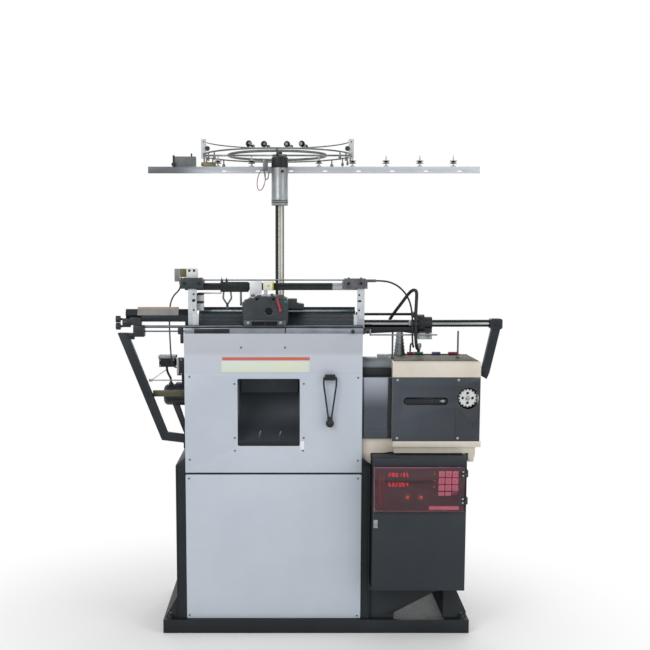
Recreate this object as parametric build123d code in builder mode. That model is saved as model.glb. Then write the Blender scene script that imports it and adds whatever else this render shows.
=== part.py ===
from build123d import *
from math import radians, tan
import os

os.makedirs("parts", exist_ok=True)

# Driving sizes, in millimetres.
# X runs along the needle bed, Y goes away from the worker, Z is up.
# The origin is on the floor, under the middle of the front covers.
sheet = 3.0             # thickness of the folded covers
cover_half = 299.0      # half the width of the front covers
seam_z = 557.0          # dark seam between the lower and the upper cover
seam_gap = 7.0
bend_z = 900.0          # where the beam cover starts
fold_z = 963.0          # where the beam cover leans forward
cover_top = 1034.0
lean = 6.0              # how far the beam cover leans out at its top

base_left = -380.0
base_right = 672.0
base_front = -15.0
base_depth = 485.0
base_height = 47.0
foot_height = 78.0      # height of the flared feet above the plinth
web = 8.0               # steel plate of the feet

cabinet_left = -333.0
cabinet_right = 330.0
cabinet_depth = 425.0
cabinet_top = 611.0
shoulder = 27.0         # sloped shoulder of the cabinet

body_depth = 392.0
body_wall = 6.0
body_top = 1030.0

window_left = -121.0
window_right = 89.0
window_low = 652.0
window_high = 881.0

frame_height = 20.0     # plate that carries both needle beds
frame_left = -296.0
frame_right = 306.0
bed_left = -256.0
bed_right = 280.0
throat_y = 120.0        # middle of the throat between the beds
throat = 8.0
bed_reach = 100.0       # from the throat to the low edge of a bed
bed_low = 8.0           # height of the low edge above the frame
bed_rise = 42.0         # rise of the slope to the verge
verge = 12.0            # flat top beside the throat
trick_pitch = 3.63      # seven needles to the inch
trick_width = 1.7
trick_depth = 3.0
comb = 6.5              # silver ridge on the verge of the front bed
guard = 16.0            # black bar on the verge of the rear bed

rod_y = 1.0             # long thin front rod
rod_r = 4.5
ledge_height = 18.0
rail_y = 70.0           # feeder rail, above the front bed
rail_width = 20.0
rail_low = 1176.0
rail_tall = 24.0
wire_z = 1210.0
wire_r = 2.5
upright_top = 1182.0

tube_y = 30.0           # drive tube at the right
tube_z = 1066.0
tube_r = 12.0
tube_end = 727.0

case_left = 400.0       # cream casting of the drive unit
case_right = 696.0
case_depth = 258.0
case_top = 940.0
case_bottom = 649.0
lip_height = 53.0
lower_lip = 20.0

box_left = 334.0        # controller
box_right = 645.0
box_front = -66.0
box_back = 124.0
box_low = 168.0
box_top = 622.0
panel_low = 441.0
panel_high = 587.0
box_wall = 2.0

post_x = 20.0
post_y = 330.0
post_r = 16.0
sleeve_r = 29.5
sleeve_low = 1471.0
sleeve_high = 1604.0
hub_high = 1640.0
ring_x = 12.0
ring_z = 1648.0
outer_ring = 264.0
inner_ring = 175.0
arch_z = 1700.0         # upper half ring behind
yarn_rail_left = -457.0
yarn_rail_right = 745.0
yarn_rail_low = 1588.0
yarn_rail_tall = 24.0
guide_pitch = 122.0

running = 0.05          # clearance of a turning fit, each side
gap = 0.4               # clearance between pieces that slide past


def front(y):
    """upright plane facing the worker, at depth y"""
    return Plane.XZ.offset(-y)


def block(x0, x1, y0, y1, z0, z1, mode=Mode.ADD):
    """square block between two corners, in the open part"""
    with Locations(((x0 + x1) / 2, (y0 + y1) / 2, (z0 + z1) / 2)):
        Box(x1 - x0, y1 - y0, z1 - z0, mode=mode)


def bar_x(x0, x1, y, z, r, mode=Mode.ADD):
    """round bar along X, in the open part"""
    with BuildSketch(Plane.YZ.offset(x0)) as profile:
        with Locations((y, z)):
            Circle(r)
    extrude(profile.sketch, amount=x1 - x0, mode=mode)


def bar_y(x, y0, y1, z, r, mode=Mode.ADD):
    """round bar along Y, in the open part"""
    with BuildSketch(front(y1)) as profile:
        with Locations((x, z)):
            Circle(r)
    extrude(profile.sketch, amount=y1 - y0, mode=mode)


def bar_z(x, y, z0, z1, r, mode=Mode.ADD):
    """round bar along Z, in the open part"""
    with BuildSketch(Plane.XY.offset(z0)) as profile:
        with Locations((x, y)):
            Circle(r)
    extrude(profile.sketch, amount=z1 - z0, mode=mode)


def slab_xz(points, y0, y1, mode=Mode.ADD):
    """outline seen from the front, given depth from y0 to y1"""
    with BuildSketch(front(y1)) as profile:
        with BuildLine():
            Polyline(*points, close=True)
        make_face()
    extrude(profile.sketch, amount=y1 - y0, mode=mode)


def slab_yz(points, x0, x1, mode=Mode.ADD):
    """outline seen from the side, given width from x0 to x1"""
    with BuildSketch(Plane.YZ.offset(x0)) as profile:
        with BuildLine():
            Polyline(*points, close=True)
        make_face()
    extrude(profile.sketch, amount=x1 - x0, mode=mode)


# Plinth: welded base with a flared foot at each end, a back panel and levelling bolts.
foot_top = base_height + foot_height
leg_left = 586.0        # inner side of the right foot
leg_right = 632.0
base_back = base_front + base_depth
bolt_left = -357.0      # levelling bolts
bolt_right = 649.0
with BuildPart() as plinth:
    block(base_left, base_right, base_front, base_back, 0, base_height)
    left_foot = [(base_left + 4, base_height), (cabinet_left, foot_top), (cabinet_left, base_height)]
    right_foot = [(leg_left, base_height), (leg_left, foot_top + 18), (leg_right, foot_top + 18),
                  (base_right - 6, base_height + 20), (base_right - 6, base_height)]
    slab_xz(left_foot, base_front + 30, base_front + 30 + web)
    slab_xz(left_foot, base_back - 30 - web, base_back - 30)
    slab_xz(right_foot, base_front + 30, base_front + 30 + web)
    slab_xz(right_foot, base_back - 30 - web, base_back - 30)
    block(leg_left, leg_left + web, base_front + 30 + web, base_back - 30 - web,
          base_height, foot_top + 18)
    gusset = [(cabinet_right, base_height), (cabinet_right, foot_top + 18), (566, foot_top + 18),
              (416, base_height + 16), (416, base_height)]
    slab_xz(gusset, base_front + 32, base_front + 32 + web)
    with BuildSketch(front(base_back - 30)):
        with Locations(((cabinet_right + leg_left) / 2, (base_height + foot_top) / 2)):
            RectangleRounded(leg_left - cabinet_right, foot_height, 12)
        with Locations(((cabinet_right + leg_left) / 2, base_height + 12)):
            Rectangle(leg_left - cabinet_right, 24)
    extrude(amount=web)
    chamfer(plinth.edges().group_by(Axis.Z)[0], 1.5)
    for x in (bolt_left, bolt_right):
        for y in (base_front + 16, base_back - 16):
            bar_z(x, y, base_height, base_height + 3, 11)
            with BuildSketch(Plane.XY.offset(base_height + 3)):
                with Locations((x, y)):
                    RegularPolygon(9, 6)
            extrude(amount=9)
            bar_z(x, y, base_height + 12, base_height + 18, 5)
plinth.part.label = "plinth"
export_step(plinth.part, "parts/plinth.step")

# Pedestal: folded cabinet with sloped shoulders, welded to the plinth.
with BuildPart() as pedestal:
    rim = [(cabinet_left, base_height), (cabinet_left, cabinet_top - shoulder),
           (cabinet_left + shoulder + 6, cabinet_top), (cabinet_right - shoulder - 6, cabinet_top),
           (cabinet_right, cabinet_top - shoulder), (cabinet_right, base_height)]
    slab_xz(rim, sheet, sheet + cabinet_depth)
    for side in (cabinet_left + 6, cabinet_right - 6):
        block(side - 1, side + 1, sheet, sheet + 1.5, base_height + 4, cabinet_top - shoulder - 4,
              Mode.SUBTRACT)
    for i in range(7):
        z = 420.0 + 14 * i
        block(-120, 120, sheet + cabinet_depth - 3, sheet + cabinet_depth, z, z + 5, Mode.SUBTRACT)
pedestal.part.label = "pedestal"
export_step(pedestal.part, "parts/pedestal.step")

# Lower cover: flat light grey sheet screwed to the pedestal.
lower_top = seam_z - seam_gap / 2
with BuildPart() as lower_cover:
    with BuildSketch(front(sheet)):
        with Locations((0, (base_height + 1 + lower_top) / 2)):
            RectangleRounded(2 * cover_half, lower_top - base_height - 1, 4)
    extrude(amount=sheet)
    chamfer(lower_cover.faces().sort_by(Axis.Y)[0].edges(), 0.8)
lower_cover.part.label = "lower_cover"
export_step(lower_cover.part, "parts/lower_cover.step")

# Upper cover: sheet with the glove window and folded sides that wrap the body.
upper_low = seam_z + seam_gap / 2
body_half = cover_half - sheet
with BuildPart() as upper_cover:
    with BuildSketch(front(sheet)):
        with Locations((0, (upper_low + bend_z) / 2)):
            Rectangle(2 * cover_half, bend_z - upper_low)
        with Locations(((window_left + window_right) / 2, (window_low + window_high) / 2)):
            RectangleRounded(window_right - window_left, window_high - window_low, 5,
                             mode=Mode.SUBTRACT)
    extrude(amount=sheet)
    for side in (-1, 1):
        block(min(side * body_half, side * cover_half), max(side * body_half, side * cover_half),
              sheet, sheet + 14, cabinet_top, bend_z)
upper_cover.part.label = "upper_cover"
export_step(upper_cover.part, "parts/upper_cover.step")

# Beam cover: bent sheet in front of the needle bed beam, leaning out at its top.
with BuildPart() as beam_cover:
    fold = [(0, bend_z), (0, fold_z), (-lean, cover_top), (sheet - lean, cover_top),
            (sheet, fold_z), (sheet, bend_z)]
    slab_yz(fold, -cover_half, cover_half)
    for side in (-1, 1):
        block(min(side * body_half, side * cover_half), max(side * body_half, side * cover_half),
              sheet, sheet + 14, bend_z, body_top)
beam_cover.part.label = "beam_cover"
export_step(beam_cover.part, "parts/beam_cover.step")

# Cover screws: small button heads on the three sheets.
with BuildPart() as cover_screws:
    screw_spots = [(-287, 540), (287, 540), (-290, 60), (287, 58), (-282, 888), (285, 885),
                   (-284, 605), (286, 602), (-131, 864), (102, 864), (-131, 680), (102, 680),
                   (-131, 636), (100, 636)]
    with BuildSketch(front(0)):
        with Locations(*screw_spots):
            Circle(3.5)
    extrude(amount=1.6)
    for x in (-108, 39):
        with BuildSketch(front(-lean * (991 - fold_z) / (cover_top - fold_z))):
            with Locations((x, 987)):
                Circle(3.5)
        extrude(amount=1.6)
cover_screws.part.label = "cover_screws"
export_step(cover_screws.part, "parts/cover_screws.step")

roller_z = 925.0        # take-down rollers below the throat
roller_r = 16.0
roller_shaft = 6.0
roller_front = throat_y - roller_r - 0.5
roller_back = throat_y + roller_r + 0.5

# Knitting body: welded box between the pedestal and the needle beds.
body_back = sheet + body_depth
with BuildPart() as knitting_body:
    block(-body_half, body_half, sheet, body_back, cabinet_top, body_top)
    block(body_wall - body_half, body_half - body_wall, sheet + body_wall, body_back - body_wall,
          cabinet_top + body_wall, body_top - body_wall, Mode.SUBTRACT)
    block(window_left, window_right, sheet, sheet + body_wall, window_low, window_high, Mode.SUBTRACT)
    block(bed_left + 6, bed_right - 6, throat_y - 8, throat_y + 8, body_top - body_wall, body_top,
          Mode.SUBTRACT)
    for y in (roller_front, roller_back):
        bar_x(-body_half, body_half, y, roller_z, roller_shaft + running, Mode.SUBTRACT)
    with BuildSketch(front(body_back)):
        with Locations((0, 820)):
            RectangleRounded(430, 270, 14)
    extrude(amount=2)
knitting_body.part.label = "knitting_body"
export_step(knitting_body.part, "parts/knitting_body.step")

# Glove chute: sloping tray that leads the glove from the rollers to the window.
chute_back = 250.0
chute_floor_back = 800.0
with BuildPart() as glove_chute:
    tray = [(sheet + body_wall, window_low - 6), (chute_back, chute_floor_back),
            (chute_back, chute_floor_back + sheet), (sheet + body_wall, window_low - 6 + sheet)]
    slab_yz(tray, window_left, window_right)
    cheek = [(sheet + body_wall, window_low - 6), (chute_back, chute_floor_back),
             (chute_back, window_high + 10), (sheet + body_wall, window_high + 10)]
    slab_yz(cheek, window_left - sheet, window_left)
    slab_yz(cheek, window_right, window_right + sheet)
glove_chute.part.label = "glove_chute"
export_step(glove_chute.part, "parts/glove_chute.step")

# Take-down rollers: a driven roller and a pressed one below the throat.
with BuildPart() as drive_roller:
    bar_x(1 - body_half, body_half - 1, roller_front, roller_z, roller_shaft)
    bar_x(bed_left, bed_right, roller_front, roller_z, roller_r)
drive_roller.part.label = "drive_roller"
export_step(drive_roller.part, "parts/drive_roller.step")

with BuildPart() as press_roller:
    bar_x(1 - body_half, body_half - 1, roller_back, roller_z, roller_shaft)
    bar_x(bed_left, bed_right, roller_back, roller_z, roller_r)
press_roller.part.label = "press_roller"
export_step(press_roller.part, "parts/press_roller.step")

# Start handle: block on the upper cover, and a wire loop with a ball that hangs from it.
grip_x = 190.0
grip_block_low = 878.0
grip_half = 17.0
pin_z = 887.0
loop_y = -16.0
wire = 3.0              # radius of the loop's wire
pin_play = 0.3
with BuildPart() as handle_block:
    block(grip_x - grip_half, grip_x + grip_half, loop_y - 7, 0, grip_block_low, grip_block_low + 19)
    fillet(handle_block.edges().filter_by(Axis.X).group_by(Axis.Y)[0], 3)
    bar_x(grip_x - grip_half, grip_x + grip_half, loop_y, pin_z, wire + pin_play, Mode.SUBTRACT)
handle_block.part.label = "handle_block"
export_step(handle_block.part, "parts/handle_block.step")

loop_half = grip_half + wire + 1
ball_z = 732.0
with BuildPart() as wire_handle:
    with BuildLine() as loop:
        FilletPolyline((grip_x - 5, loop_y, ball_z + 16), (grip_x - loop_half, loop_y, 862),
                       (grip_x - loop_half, loop_y, pin_z), (grip_x + loop_half, loop_y, pin_z),
                       (grip_x + loop_half, loop_y, 862), (grip_x + 5, loop_y, ball_z + 16), radius=4)
    with BuildSketch(Plane(loop.line @ 0, z_dir=loop.line % 0)):
        Circle(wire)
    sweep(path=loop.line)
    bar_z(grip_x, loop_y, ball_z + 10, ball_z + 22, 9)
    with Locations((grip_x, loop_y, ball_z)):
        Sphere(14)
wire_handle.part.label = "wire_handle"
export_step(wire_handle.part, "parts/wire_handle.step")

# Bed frame: machined plate over the body that carries both needle beds.
frame_top = body_top + frame_height
frame_front = 8.0
frame_back = 2 * throat_y - frame_front
with BuildPart() as bed_frame:
    block(frame_left, frame_right, frame_front, frame_back, body_top, frame_top)
    block(bed_left + 6, bed_right - 6, throat_y - 8, throat_y + 8, body_top, frame_top, Mode.SUBTRACT)
bed_frame.part.label = "bed_frame"
export_step(bed_frame.part, "parts/bed_frame.step")

# Needle beds: slopes that meet at the throat, each cut with a row of needle tricks.
verge_z = frame_top + bed_low + bed_rise
slope_run = bed_reach - verge


def needle_bed(side):
    """front bed for side -1, rear bed for side 1"""
    y_throat = throat_y + side * throat / 2
    y_verge = y_throat + side * verge
    y_low = y_throat + side * bed_reach
    with BuildPart() as bed:
        slab_yz([(y_throat, frame_top), (y_throat, verge_z), (y_verge, verge_z),
                 (y_low, frame_top + bed_low), (y_low, frame_top)], bed_left, bed_right)
        slope = Plane(origin=((bed_left + bed_right) / 2, y_low, frame_top + bed_low),
                      x_dir=(1, 0, 0), z_dir=(0, side * bed_rise, slope_run))
        length = (slope_run ** 2 + bed_rise ** 2) ** 0.5
        count = int((bed_right - bed_left - 20) / trick_pitch)
        with BuildSketch(slope):
            with Locations((0, -side * length / 2)):
                with GridLocations(trick_pitch, 0, count, 1):
                    Rectangle(trick_width, length + 2 * trick_depth)
        extrude(amount=-trick_depth, mode=Mode.SUBTRACT)
        ridge = comb if side < 0 else guard
        block(bed_left, bed_right, min(y_throat, y_verge) + 2, max(y_throat, y_verge) - 2, verge_z,
              verge_z + ridge)
    return bed.part


front_bed = needle_bed(-1)
front_bed.label = "front_bed"
export_step(front_bed, "parts/front_bed.step")
rear_bed = needle_bed(1)
rear_bed.label = "rear_bed"
export_step(rear_bed, "parts/rear_bed.step")

# Front rail: silver ledge along the bed frame, with a joint line, two knobs and a thin rod.
with BuildPart() as front_rail:
    ledge_front = -lean
    block(-246, 300, ledge_front, frame_front, cover_top, cover_top + ledge_height)
    fillet(front_rail.edges().filter_by(Axis.X).group_by(Axis.Y)[0], 2)
    block(41, 43, ledge_front, ledge_front + 3, cover_top, cover_top + ledge_height, Mode.SUBTRACT)
    for x in (265.0, 314.0):
        bar_y(x, ledge_front - 12, ledge_front, 1041, 7)
        bar_y(x, ledge_front - 15, ledge_front - 12, 1041, 4)
    block(300, 322, ledge_front, frame_front, cover_top, cover_top + 16)
    bar_x(322, 548, rod_y, 1029, 2.5)
    block(322, 326, rod_y - 4, rod_y + 4, 1026, 1048)
front_rail.part.label = "front_rail"
export_step(front_rail.part, "parts/front_rail.step")

# Front rods: a long rod on the ledge and a thinner one below it, at the left.
rod_z = cover_top + ledge_height + rod_r
thin_rod_z = 1041.0
with BuildPart() as front_rods:
    bar_x(-432, 300, rod_y, rod_z, rod_r)
    bar_x(-432, -246, rod_y, thin_rod_z, 2.5)
    block(-306, -302, rod_y - 4, rod_y + 4, 1000, rod_z - rod_r + 0.5)
    block(-318, -302, rod_y - 4, rod_y + 4, thin_rod_z - 8, rod_z - rod_r + 0.5)
front_rods.part.label = "front_rods"
export_step(front_rods.part, "parts/front_rods.step")

# Uprights: drilled plates at the ends of the beds that carry the feeder rail.
plate_front = 14.0
plate_back = 26.0
rail_front = rail_y - rail_width / 2
rail_back = rail_y + rail_width / 2
rail_high = rail_low + rail_tall
with BuildPart() as upright_left:
    block(-285, -257, plate_front, plate_back, frame_top, upright_top)
    block(-285, -273, plate_back, 82, frame_top, upright_top)
    block(-257, -236, 44, 74, 1108, 1166)
    block(-273, -257, 44, 74, 1108, 1166)
    heel = [(-270, frame_top), (-270, 1098), (-249, 1098), (-251, frame_top)]
    slab_xz(heel, frame_front, plate_front + 1)
    block(-285, -273, rail_front, rail_back, rail_low, upright_top, Mode.SUBTRACT)
    fillet(upright_left.edges().filter_by(Axis.Y).group_by(Axis.Z)[-1], 3)
    for z, r in ((1164, 3.5), (1143, 6), (1111, 3.5)):
        bar_y(-266, plate_front, plate_back, z, r, Mode.SUBTRACT)
    with BuildSketch(front(74)):
        with Locations((-247, 1128), (-247, 1150)):
            Circle(4)
    extrude(amount=30, mode=Mode.SUBTRACT)
upright_left.part.label = "upright_left"
export_step(upright_left.part, "parts/upright_left.step")

with BuildPart() as upright_right:
    block(281, 305, plate_front, plate_back, frame_top, upright_top)
    block(293, 305, plate_back, 82, frame_top, upright_top)
    block(284, 306, plate_back, tube_y + tube_r + 6, frame_top, tube_z + tube_r + 6)
    block(293, 305, rail_front, rail_back, rail_low, upright_top, Mode.SUBTRACT)
    fillet(upright_right.edges().filter_by(Axis.Y).group_by(Axis.Z)[-1], 3)
    for z, r in ((1161, 3.5), (1110, 3.5)):
        bar_y(287, plate_front, plate_back, z, r, Mode.SUBTRACT)
    with BuildSketch(front(plate_back)):
        with Locations((288, 1141)):
            SlotOverall(13, 7)
    extrude(amount=plate_back - plate_front, mode=Mode.SUBTRACT)
    bar_x(281, 306, tube_y, tube_z, tube_r, Mode.SUBTRACT)
    for i in range(5):
        z = 1056.0 + 7 * i
        block(281, 305, plate_front, plate_front + 1, z, z + 3, Mode.SUBTRACT)
upright_right.part.label = "upright_right"
export_step(upright_right.part, "parts/upright_right.step")

# Feeder rail and the thin rod above it, held by the two rail clamps.
with BuildPart() as feeder_rail:
    block(-300, 300, rail_front, rail_back, rail_low, rail_high)
    block(-234, 232, rail_front, rail_front + 2, rail_low + 9, rail_low + 15, Mode.SUBTRACT)
feeder_rail.part.label = "feeder_rail"
export_step(feeder_rail.part, "parts/feeder_rail.step")

with BuildPart() as feeder_rod:
    bar_x(-302, 308, rail_y, wire_z, wire_r)
feeder_rod.part.label = "feeder_rod"
export_step(feeder_rod.part, "parts/feeder_rod.step")

with BuildPart() as rail_clamp_left:
    shape = [(-309, upright_top), (-309, 1212), (-303, 1218), (-240, 1218), (-234, 1206), (-234, upright_top)]
    slab_xz(shape, 8, 86)
    block(-300, -234, rail_front, rail_back, upright_top, rail_high, Mode.SUBTRACT)
    bar_x(-302, -234, rail_y, wire_z, wire_r, Mode.SUBTRACT)
rail_clamp_left.part.label = "rail_clamp_left"
export_step(rail_clamp_left.part, "parts/rail_clamp_left.step")

with BuildPart() as rail_clamp_right:
    shape = [(233, upright_top), (233, 1203), (240, 1216), (308, 1216), (314, 1208), (314, upright_top)]
    slab_xz(shape, 8, 86)
    block(233, 300, rail_front, rail_back, upright_top, rail_high, Mode.SUBTRACT)
    bar_x(314, 344, 40, 1208, 5)
    bar_x(233, 308, rail_y, wire_z, wire_r, Mode.SUBTRACT)
rail_clamp_right.part.label = "rail_clamp_right"
export_step(rail_clamp_right.part, "parts/rail_clamp_right.step")

# Yarn break sensor on the left clamp: white block with two eyes, olive plug beside it.
plug_x = -313.0
with BuildPart() as sensor_block:
    block(-291, -255, 30, 62, 1218, 1250)
    fillet(sensor_block.edges().filter_by(Axis.Y), 3)
    for x in (-281, -265):
        bar_y(x, 30, 50, 1242, 4.5, Mode.SUBTRACT)
    block(-331, -309, 34, 60, 1206, 1248)
    block(-309, -300, 34, 60, 1220, 1248)
    block(-300, -291, 36, 58, 1222, 1244)
    bar_z(plug_x, 47, 1198, 1206, 4)
sensor_block.part.label = "sensor_block"
export_step(sensor_block.part, "parts/sensor_block.step")

# Yarn carrier: shoe that wraps the feeder rail, with two horns and the wishbone feeder.
shoe_left = -179.0
shoe_right = -84.0
with BuildPart() as yarn_carrier:
    block(shoe_left, shoe_right, rail_front - 8, rail_back + 6, rail_low - 6, rail_high + 4)
    block(shoe_left, shoe_right, rail_front - gap, rail_back + gap, rail_low - gap, rail_high + gap,
          Mode.SUBTRACT)
    chamfer(yarn_carrier.edges().filter_by(Axis.Y).group_by(Axis.Z)[-1], 2)
    for x in (-174, -158):
        slab_xz([(x - 5, rail_high + 3), (x, 1220), (x + 5, rail_high + 3)], rail_front - 8, rail_front - 2)
    for side in (-1, 1):
        with BuildLine() as leg:
            FilletPolyline((-156 + side * 12, rail_front - 4, rail_low - 5),
                           (-156 + side * 14, rail_front - 4, 1150), (-156, rail_front - 4, 1128),
                           radius=12)
        with BuildSketch(Plane(leg.line @ 0, z_dir=leg.line % 0)):
            Circle(2.6)
        sweep(path=leg.line)
    bar_z(-156, rail_front - 4, 1112, 1132, 4)
    bar_z(-110, rail_front - 4, 1124, rail_low - 4, 3.2)
yarn_carrier.part.label = "yarn_carrier"
export_step(yarn_carrier.part, "parts/yarn_carrier.step")

# Carriage: one casting over both beds, with cam plates that ride just above the tricks.
cam_gap = 0.5           # from the cam plates to the bed
car_left = -104.0
car_right = 50.0
car_back = 2 * throat_y - 12
skirt_z = rod_z + rod_r + 1.2
flange_front = -8.0
casting_front = 6.0
meet = (skirt_z - cam_gap - frame_top - bed_low) * slope_run / bed_rise
tunnel_front = throat_y - 24
tunnel_back = throat_y + 24
tunnel_top = verge_z + guard + 10
with BuildPart() as carriage_casting:
    tower = [(car_left, skirt_z), (car_left, 1137), (-88, 1137), (-84, 1150), (-62, 1150), (-58, 1156),
             (8, 1156), (12, 1146), (car_right, 1146), (car_right, skirt_z)]
    slab_xz(tower, casting_front, car_back)
    fillet(carriage_casting.edges().filter_by(Axis.Z).group_by(Axis.Y)[0], 4)
    roof = verge_z + cam_gap
    low_front = throat_y - throat / 2 - bed_reach
    low_back = throat_y + throat / 2 + bed_reach
    valley = [(casting_front - 20, skirt_z - 20), (casting_front - 20, skirt_z), (low_front + meet, skirt_z),
              (throat_y - throat / 2 - verge, roof), (throat_y + throat / 2 + verge, roof),
              (low_back - meet, skirt_z), (car_back + 20, skirt_z), (car_back + 20, skirt_z - 20)]
    slab_yz(valley, car_left - 1, car_right + 1, Mode.SUBTRACT)
    tunnel = [(tunnel_front, roof - 1), (tunnel_front, 1118), (tunnel_front + 8, tunnel_top),
              (tunnel_back - 8, tunnel_top), (tunnel_back, 1118), (tunnel_back, roof - 1)]
    slab_yz(tunnel, car_left - 1, car_right + 1, Mode.SUBTRACT)
    block(-98, 42, flange_front, casting_front, skirt_z, skirt_z + 15)
    for x0, x1 in ((-72, -29), (-25, 13)):
        block(x0, x1, flange_front, flange_front + 4, skirt_z + 3, skirt_z + 12, Mode.SUBTRACT)
    bar_y(-15, casting_front, casting_front + 16, 1107, 12, Mode.SUBTRACT)
    for x in (-52, 3):
        bar_y(x, casting_front, casting_front + 10, 1148, 4, Mode.SUBTRACT)
    for x in (-84, 24):
        bar_y(x, flange_front - 4, flange_front, skirt_z + 8, 4.5)
    wing = [(car_right, 1112), (car_right, 1146), (80, 1146), (80, 1132), (104, 1128), (104, 1112)]
    slab_xz(wing, 80, throat_y + 30)
    block(car_right, 105, tunnel_front, tunnel_back, roof - 1, tunnel_top, Mode.SUBTRACT)
carriage_casting.part.label = "carriage_casting"
export_step(carriage_casting.part, "parts/carriage_casting.step")

# Carrier driver on the carriage: white angle bracket, and a cream solenoid with its screw.
driver_front = 36.0
driver_back = rail_front - 8 - gap
with BuildPart() as carrier_driver:
    angle = [(-80, 1156), (-80, 1207), (-39, 1207), (-39, 1168), (-46, 1156)]
    slab_xz(angle, driver_front + 8, driver_front + 12)
    block(-58, -20, driver_front + 4, driver_back, 1156, 1159)
    block(-34, 1, driver_front, driver_back - 2, 1176, 1206)
    bar_z(-26, 44, 1159, 1176, 6)
    bar_y(-16, driver_front - 2, driver_front, 1191, 3)
carrier_driver.part.label = "carrier_driver"
export_step(carrier_driver.part, "parts/carrier_driver.step")

# Stitch lever: small red lever that swings on a pin in the face of the carriage.
lever_x = 23.0
lever_z = 1110.0
with BuildPart() as stitch_lever:
    bar_y(lever_x, casting_front - 6, casting_front - gap, lever_z, 5)
    blade = [(lever_x - 4, lever_z), (lever_x - 13, lever_z + 38), (lever_x - 7, lever_z + 40),
             (lever_x + 4, lever_z)]
    slab_xz(blade, casting_front - 5, casting_front - 2)
stitch_lever.part.label = "stitch_lever"
export_step(stitch_lever.part, "parts/stitch_lever.step")

# Left tray: black channel and a sloped silver plate, an extension of the bed line.
with BuildPart() as left_tray:
    block(-443, -285, 16, 60, 1072, 1093)
    block(-296, -285, 16, 60, frame_top, 1072)
    slope_end = [(30, 1093), (44, 1113), (50, 1113), (50, 1093)]
    slab_yz(slope_end, -498, -458)
    slab_yz(slope_end, -319, -286)
    block(-498, -443, 40, 60, 1080, 1093)
    tray = [(28, 1093), (46, 1119), (50, 1119), (50, 1093)]
    slab_yz(tray, -458, -319)
left_tray.part.label = "left_tray"
export_step(left_tray.part, "parts/left_tray.step")

# Left end clamp: block with two knobs and the lower clamp that holds the rods and the arm.
with BuildPart() as end_clamp_left:
    block(-480, -443, 14, 40, 1060, 1086)
    block(-467, -432, -10, 36, 1023, 1060)
    bar_x(-506, -480, 27, 1068, 15)
    for z in (1080, 1056):
        bar_x(-514, -506, 27, z, 4)
        bar_x(-529, -514, 27, z, 11.5)
    block(-486, -467, 12, 30, 1023, 1034)
    bar_x(-467, -432, rod_y, rod_z, rod_r, Mode.SUBTRACT)
end_clamp_left.part.label = "end_clamp_left"
export_step(end_clamp_left.part, "parts/end_clamp_left.step")

# Left arm: bent flat bar from the end clamp down to the side of the body.
arm_front = 18.0
arm_back = 44.0
with BuildPart() as left_arm:
    bend = [(-524, 1034), (-486, 1034), (-486, 1023), (-361, 695), (-body_half, 686),
            (-body_half, 640), (-306, 640), (-306, 660), (-380, 669)]
    slab_xz(bend, arm_front, arm_back)
    block(-486, -467, arm_front, 30, 1012, 1023)
left_arm.part.label = "left_arm"
export_step(left_arm.part, "parts/left_arm.step")

# Arm bar: olive brown flat bar that ties the arm to the body.
with BuildPart() as arm_bar:
    block(-411, -body_half, arm_back, arm_back + 12, 815, 836)
    bar_y(-400, arm_back + 12, arm_back + 16, 825, 7)
arm_bar.part.label = "arm_bar"
export_step(arm_bar.part, "parts/arm_bar.step")

# Motor: finned body with a domed end, on a welded strut.
motor_y = 130.0
motor_z = 811.0
motor_r = 36.0
with BuildPart() as motor:
    bar_x(-382, -300, motor_y, motor_z, motor_r)
    fillet(motor.edges().group_by(Axis.X)[0], 15)
    block(-300, -body_half, motor_y - 40, motor_y + 40, motor_z - 40, motor_z + 40)
    block(-340, -310, motor_y - 20, motor_y + 20, motor_z + 30, motor_z + 42)
    bar_z(-358, motor_y, motor_z + 30, motor_z + 42, 8)
    strut = [(-352, motor_z - motor_r + 2), (-330, motor_z - motor_r + 2), (-body_half, 672),
             (-body_half, 640), (-300, 640)]
    slab_xz(strut, motor_y - 12, motor_y + 12)
motor.part.label = "motor"
export_step(motor.part, "parts/motor.step")

stop_y = 72.0
stop_z = 868.0

# Junction box on a bracket, and a tall switch box behind the cover's edge.
with BuildPart() as junction_box:
    block(-396, -340, 106, 152, 910, 939)
    block(-398, -338, 104, 154, 939, 949)
    block(-340, -body_half, 120, 138, 918, 933)
    fillet(junction_box.edges().group_by(Axis.Z)[-1], 1.5)
junction_box.part.label = "junction_box"
export_step(junction_box.part, "parts/junction_box.step")

with BuildPart() as switch_box:
    block(-326, -body_half, 22, 62, 890, 948)
    fillet(switch_box.edges().filter_by(Axis.Y).group_by(Axis.X)[0], 3)
    block(-314, -body_half, 58, 84, 876, 892)
    block(-314, -body_half, stop_y - 8, stop_y + 8, 854, 880)
    bar_x(-314, -body_half, stop_y, stop_z, 2 + pin_play, Mode.SUBTRACT)
switch_box.part.label = "switch_box"
export_step(switch_box.part, "parts/switch_box.step")

# Stop arm: wire with a knob, which turns in the bracket when the yarn runs out.
with BuildPart() as stop_arm:
    bar_x(-424, -298, stop_y, stop_z, 2)
    bar_x(-427, -416, stop_y, stop_z, 5)
    with BuildSketch(Plane(origin=(-420, stop_y, stop_z), z_dir=(52, 0, 36))):
        Circle(1.6)
    extrude(amount=62)
stop_arm.part.label = "stop_arm"
export_step(stop_arm.part, "parts/stop_arm.step")

# Drive tube: chrome tube from the right upright to the end cap.
with BuildPart() as drive_tube:
    bar_x(282, tube_end, tube_y, tube_z, tube_r)
drive_tube.part.label = "drive_tube"
export_step(drive_tube.part, "parts/drive_tube.step")

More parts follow.
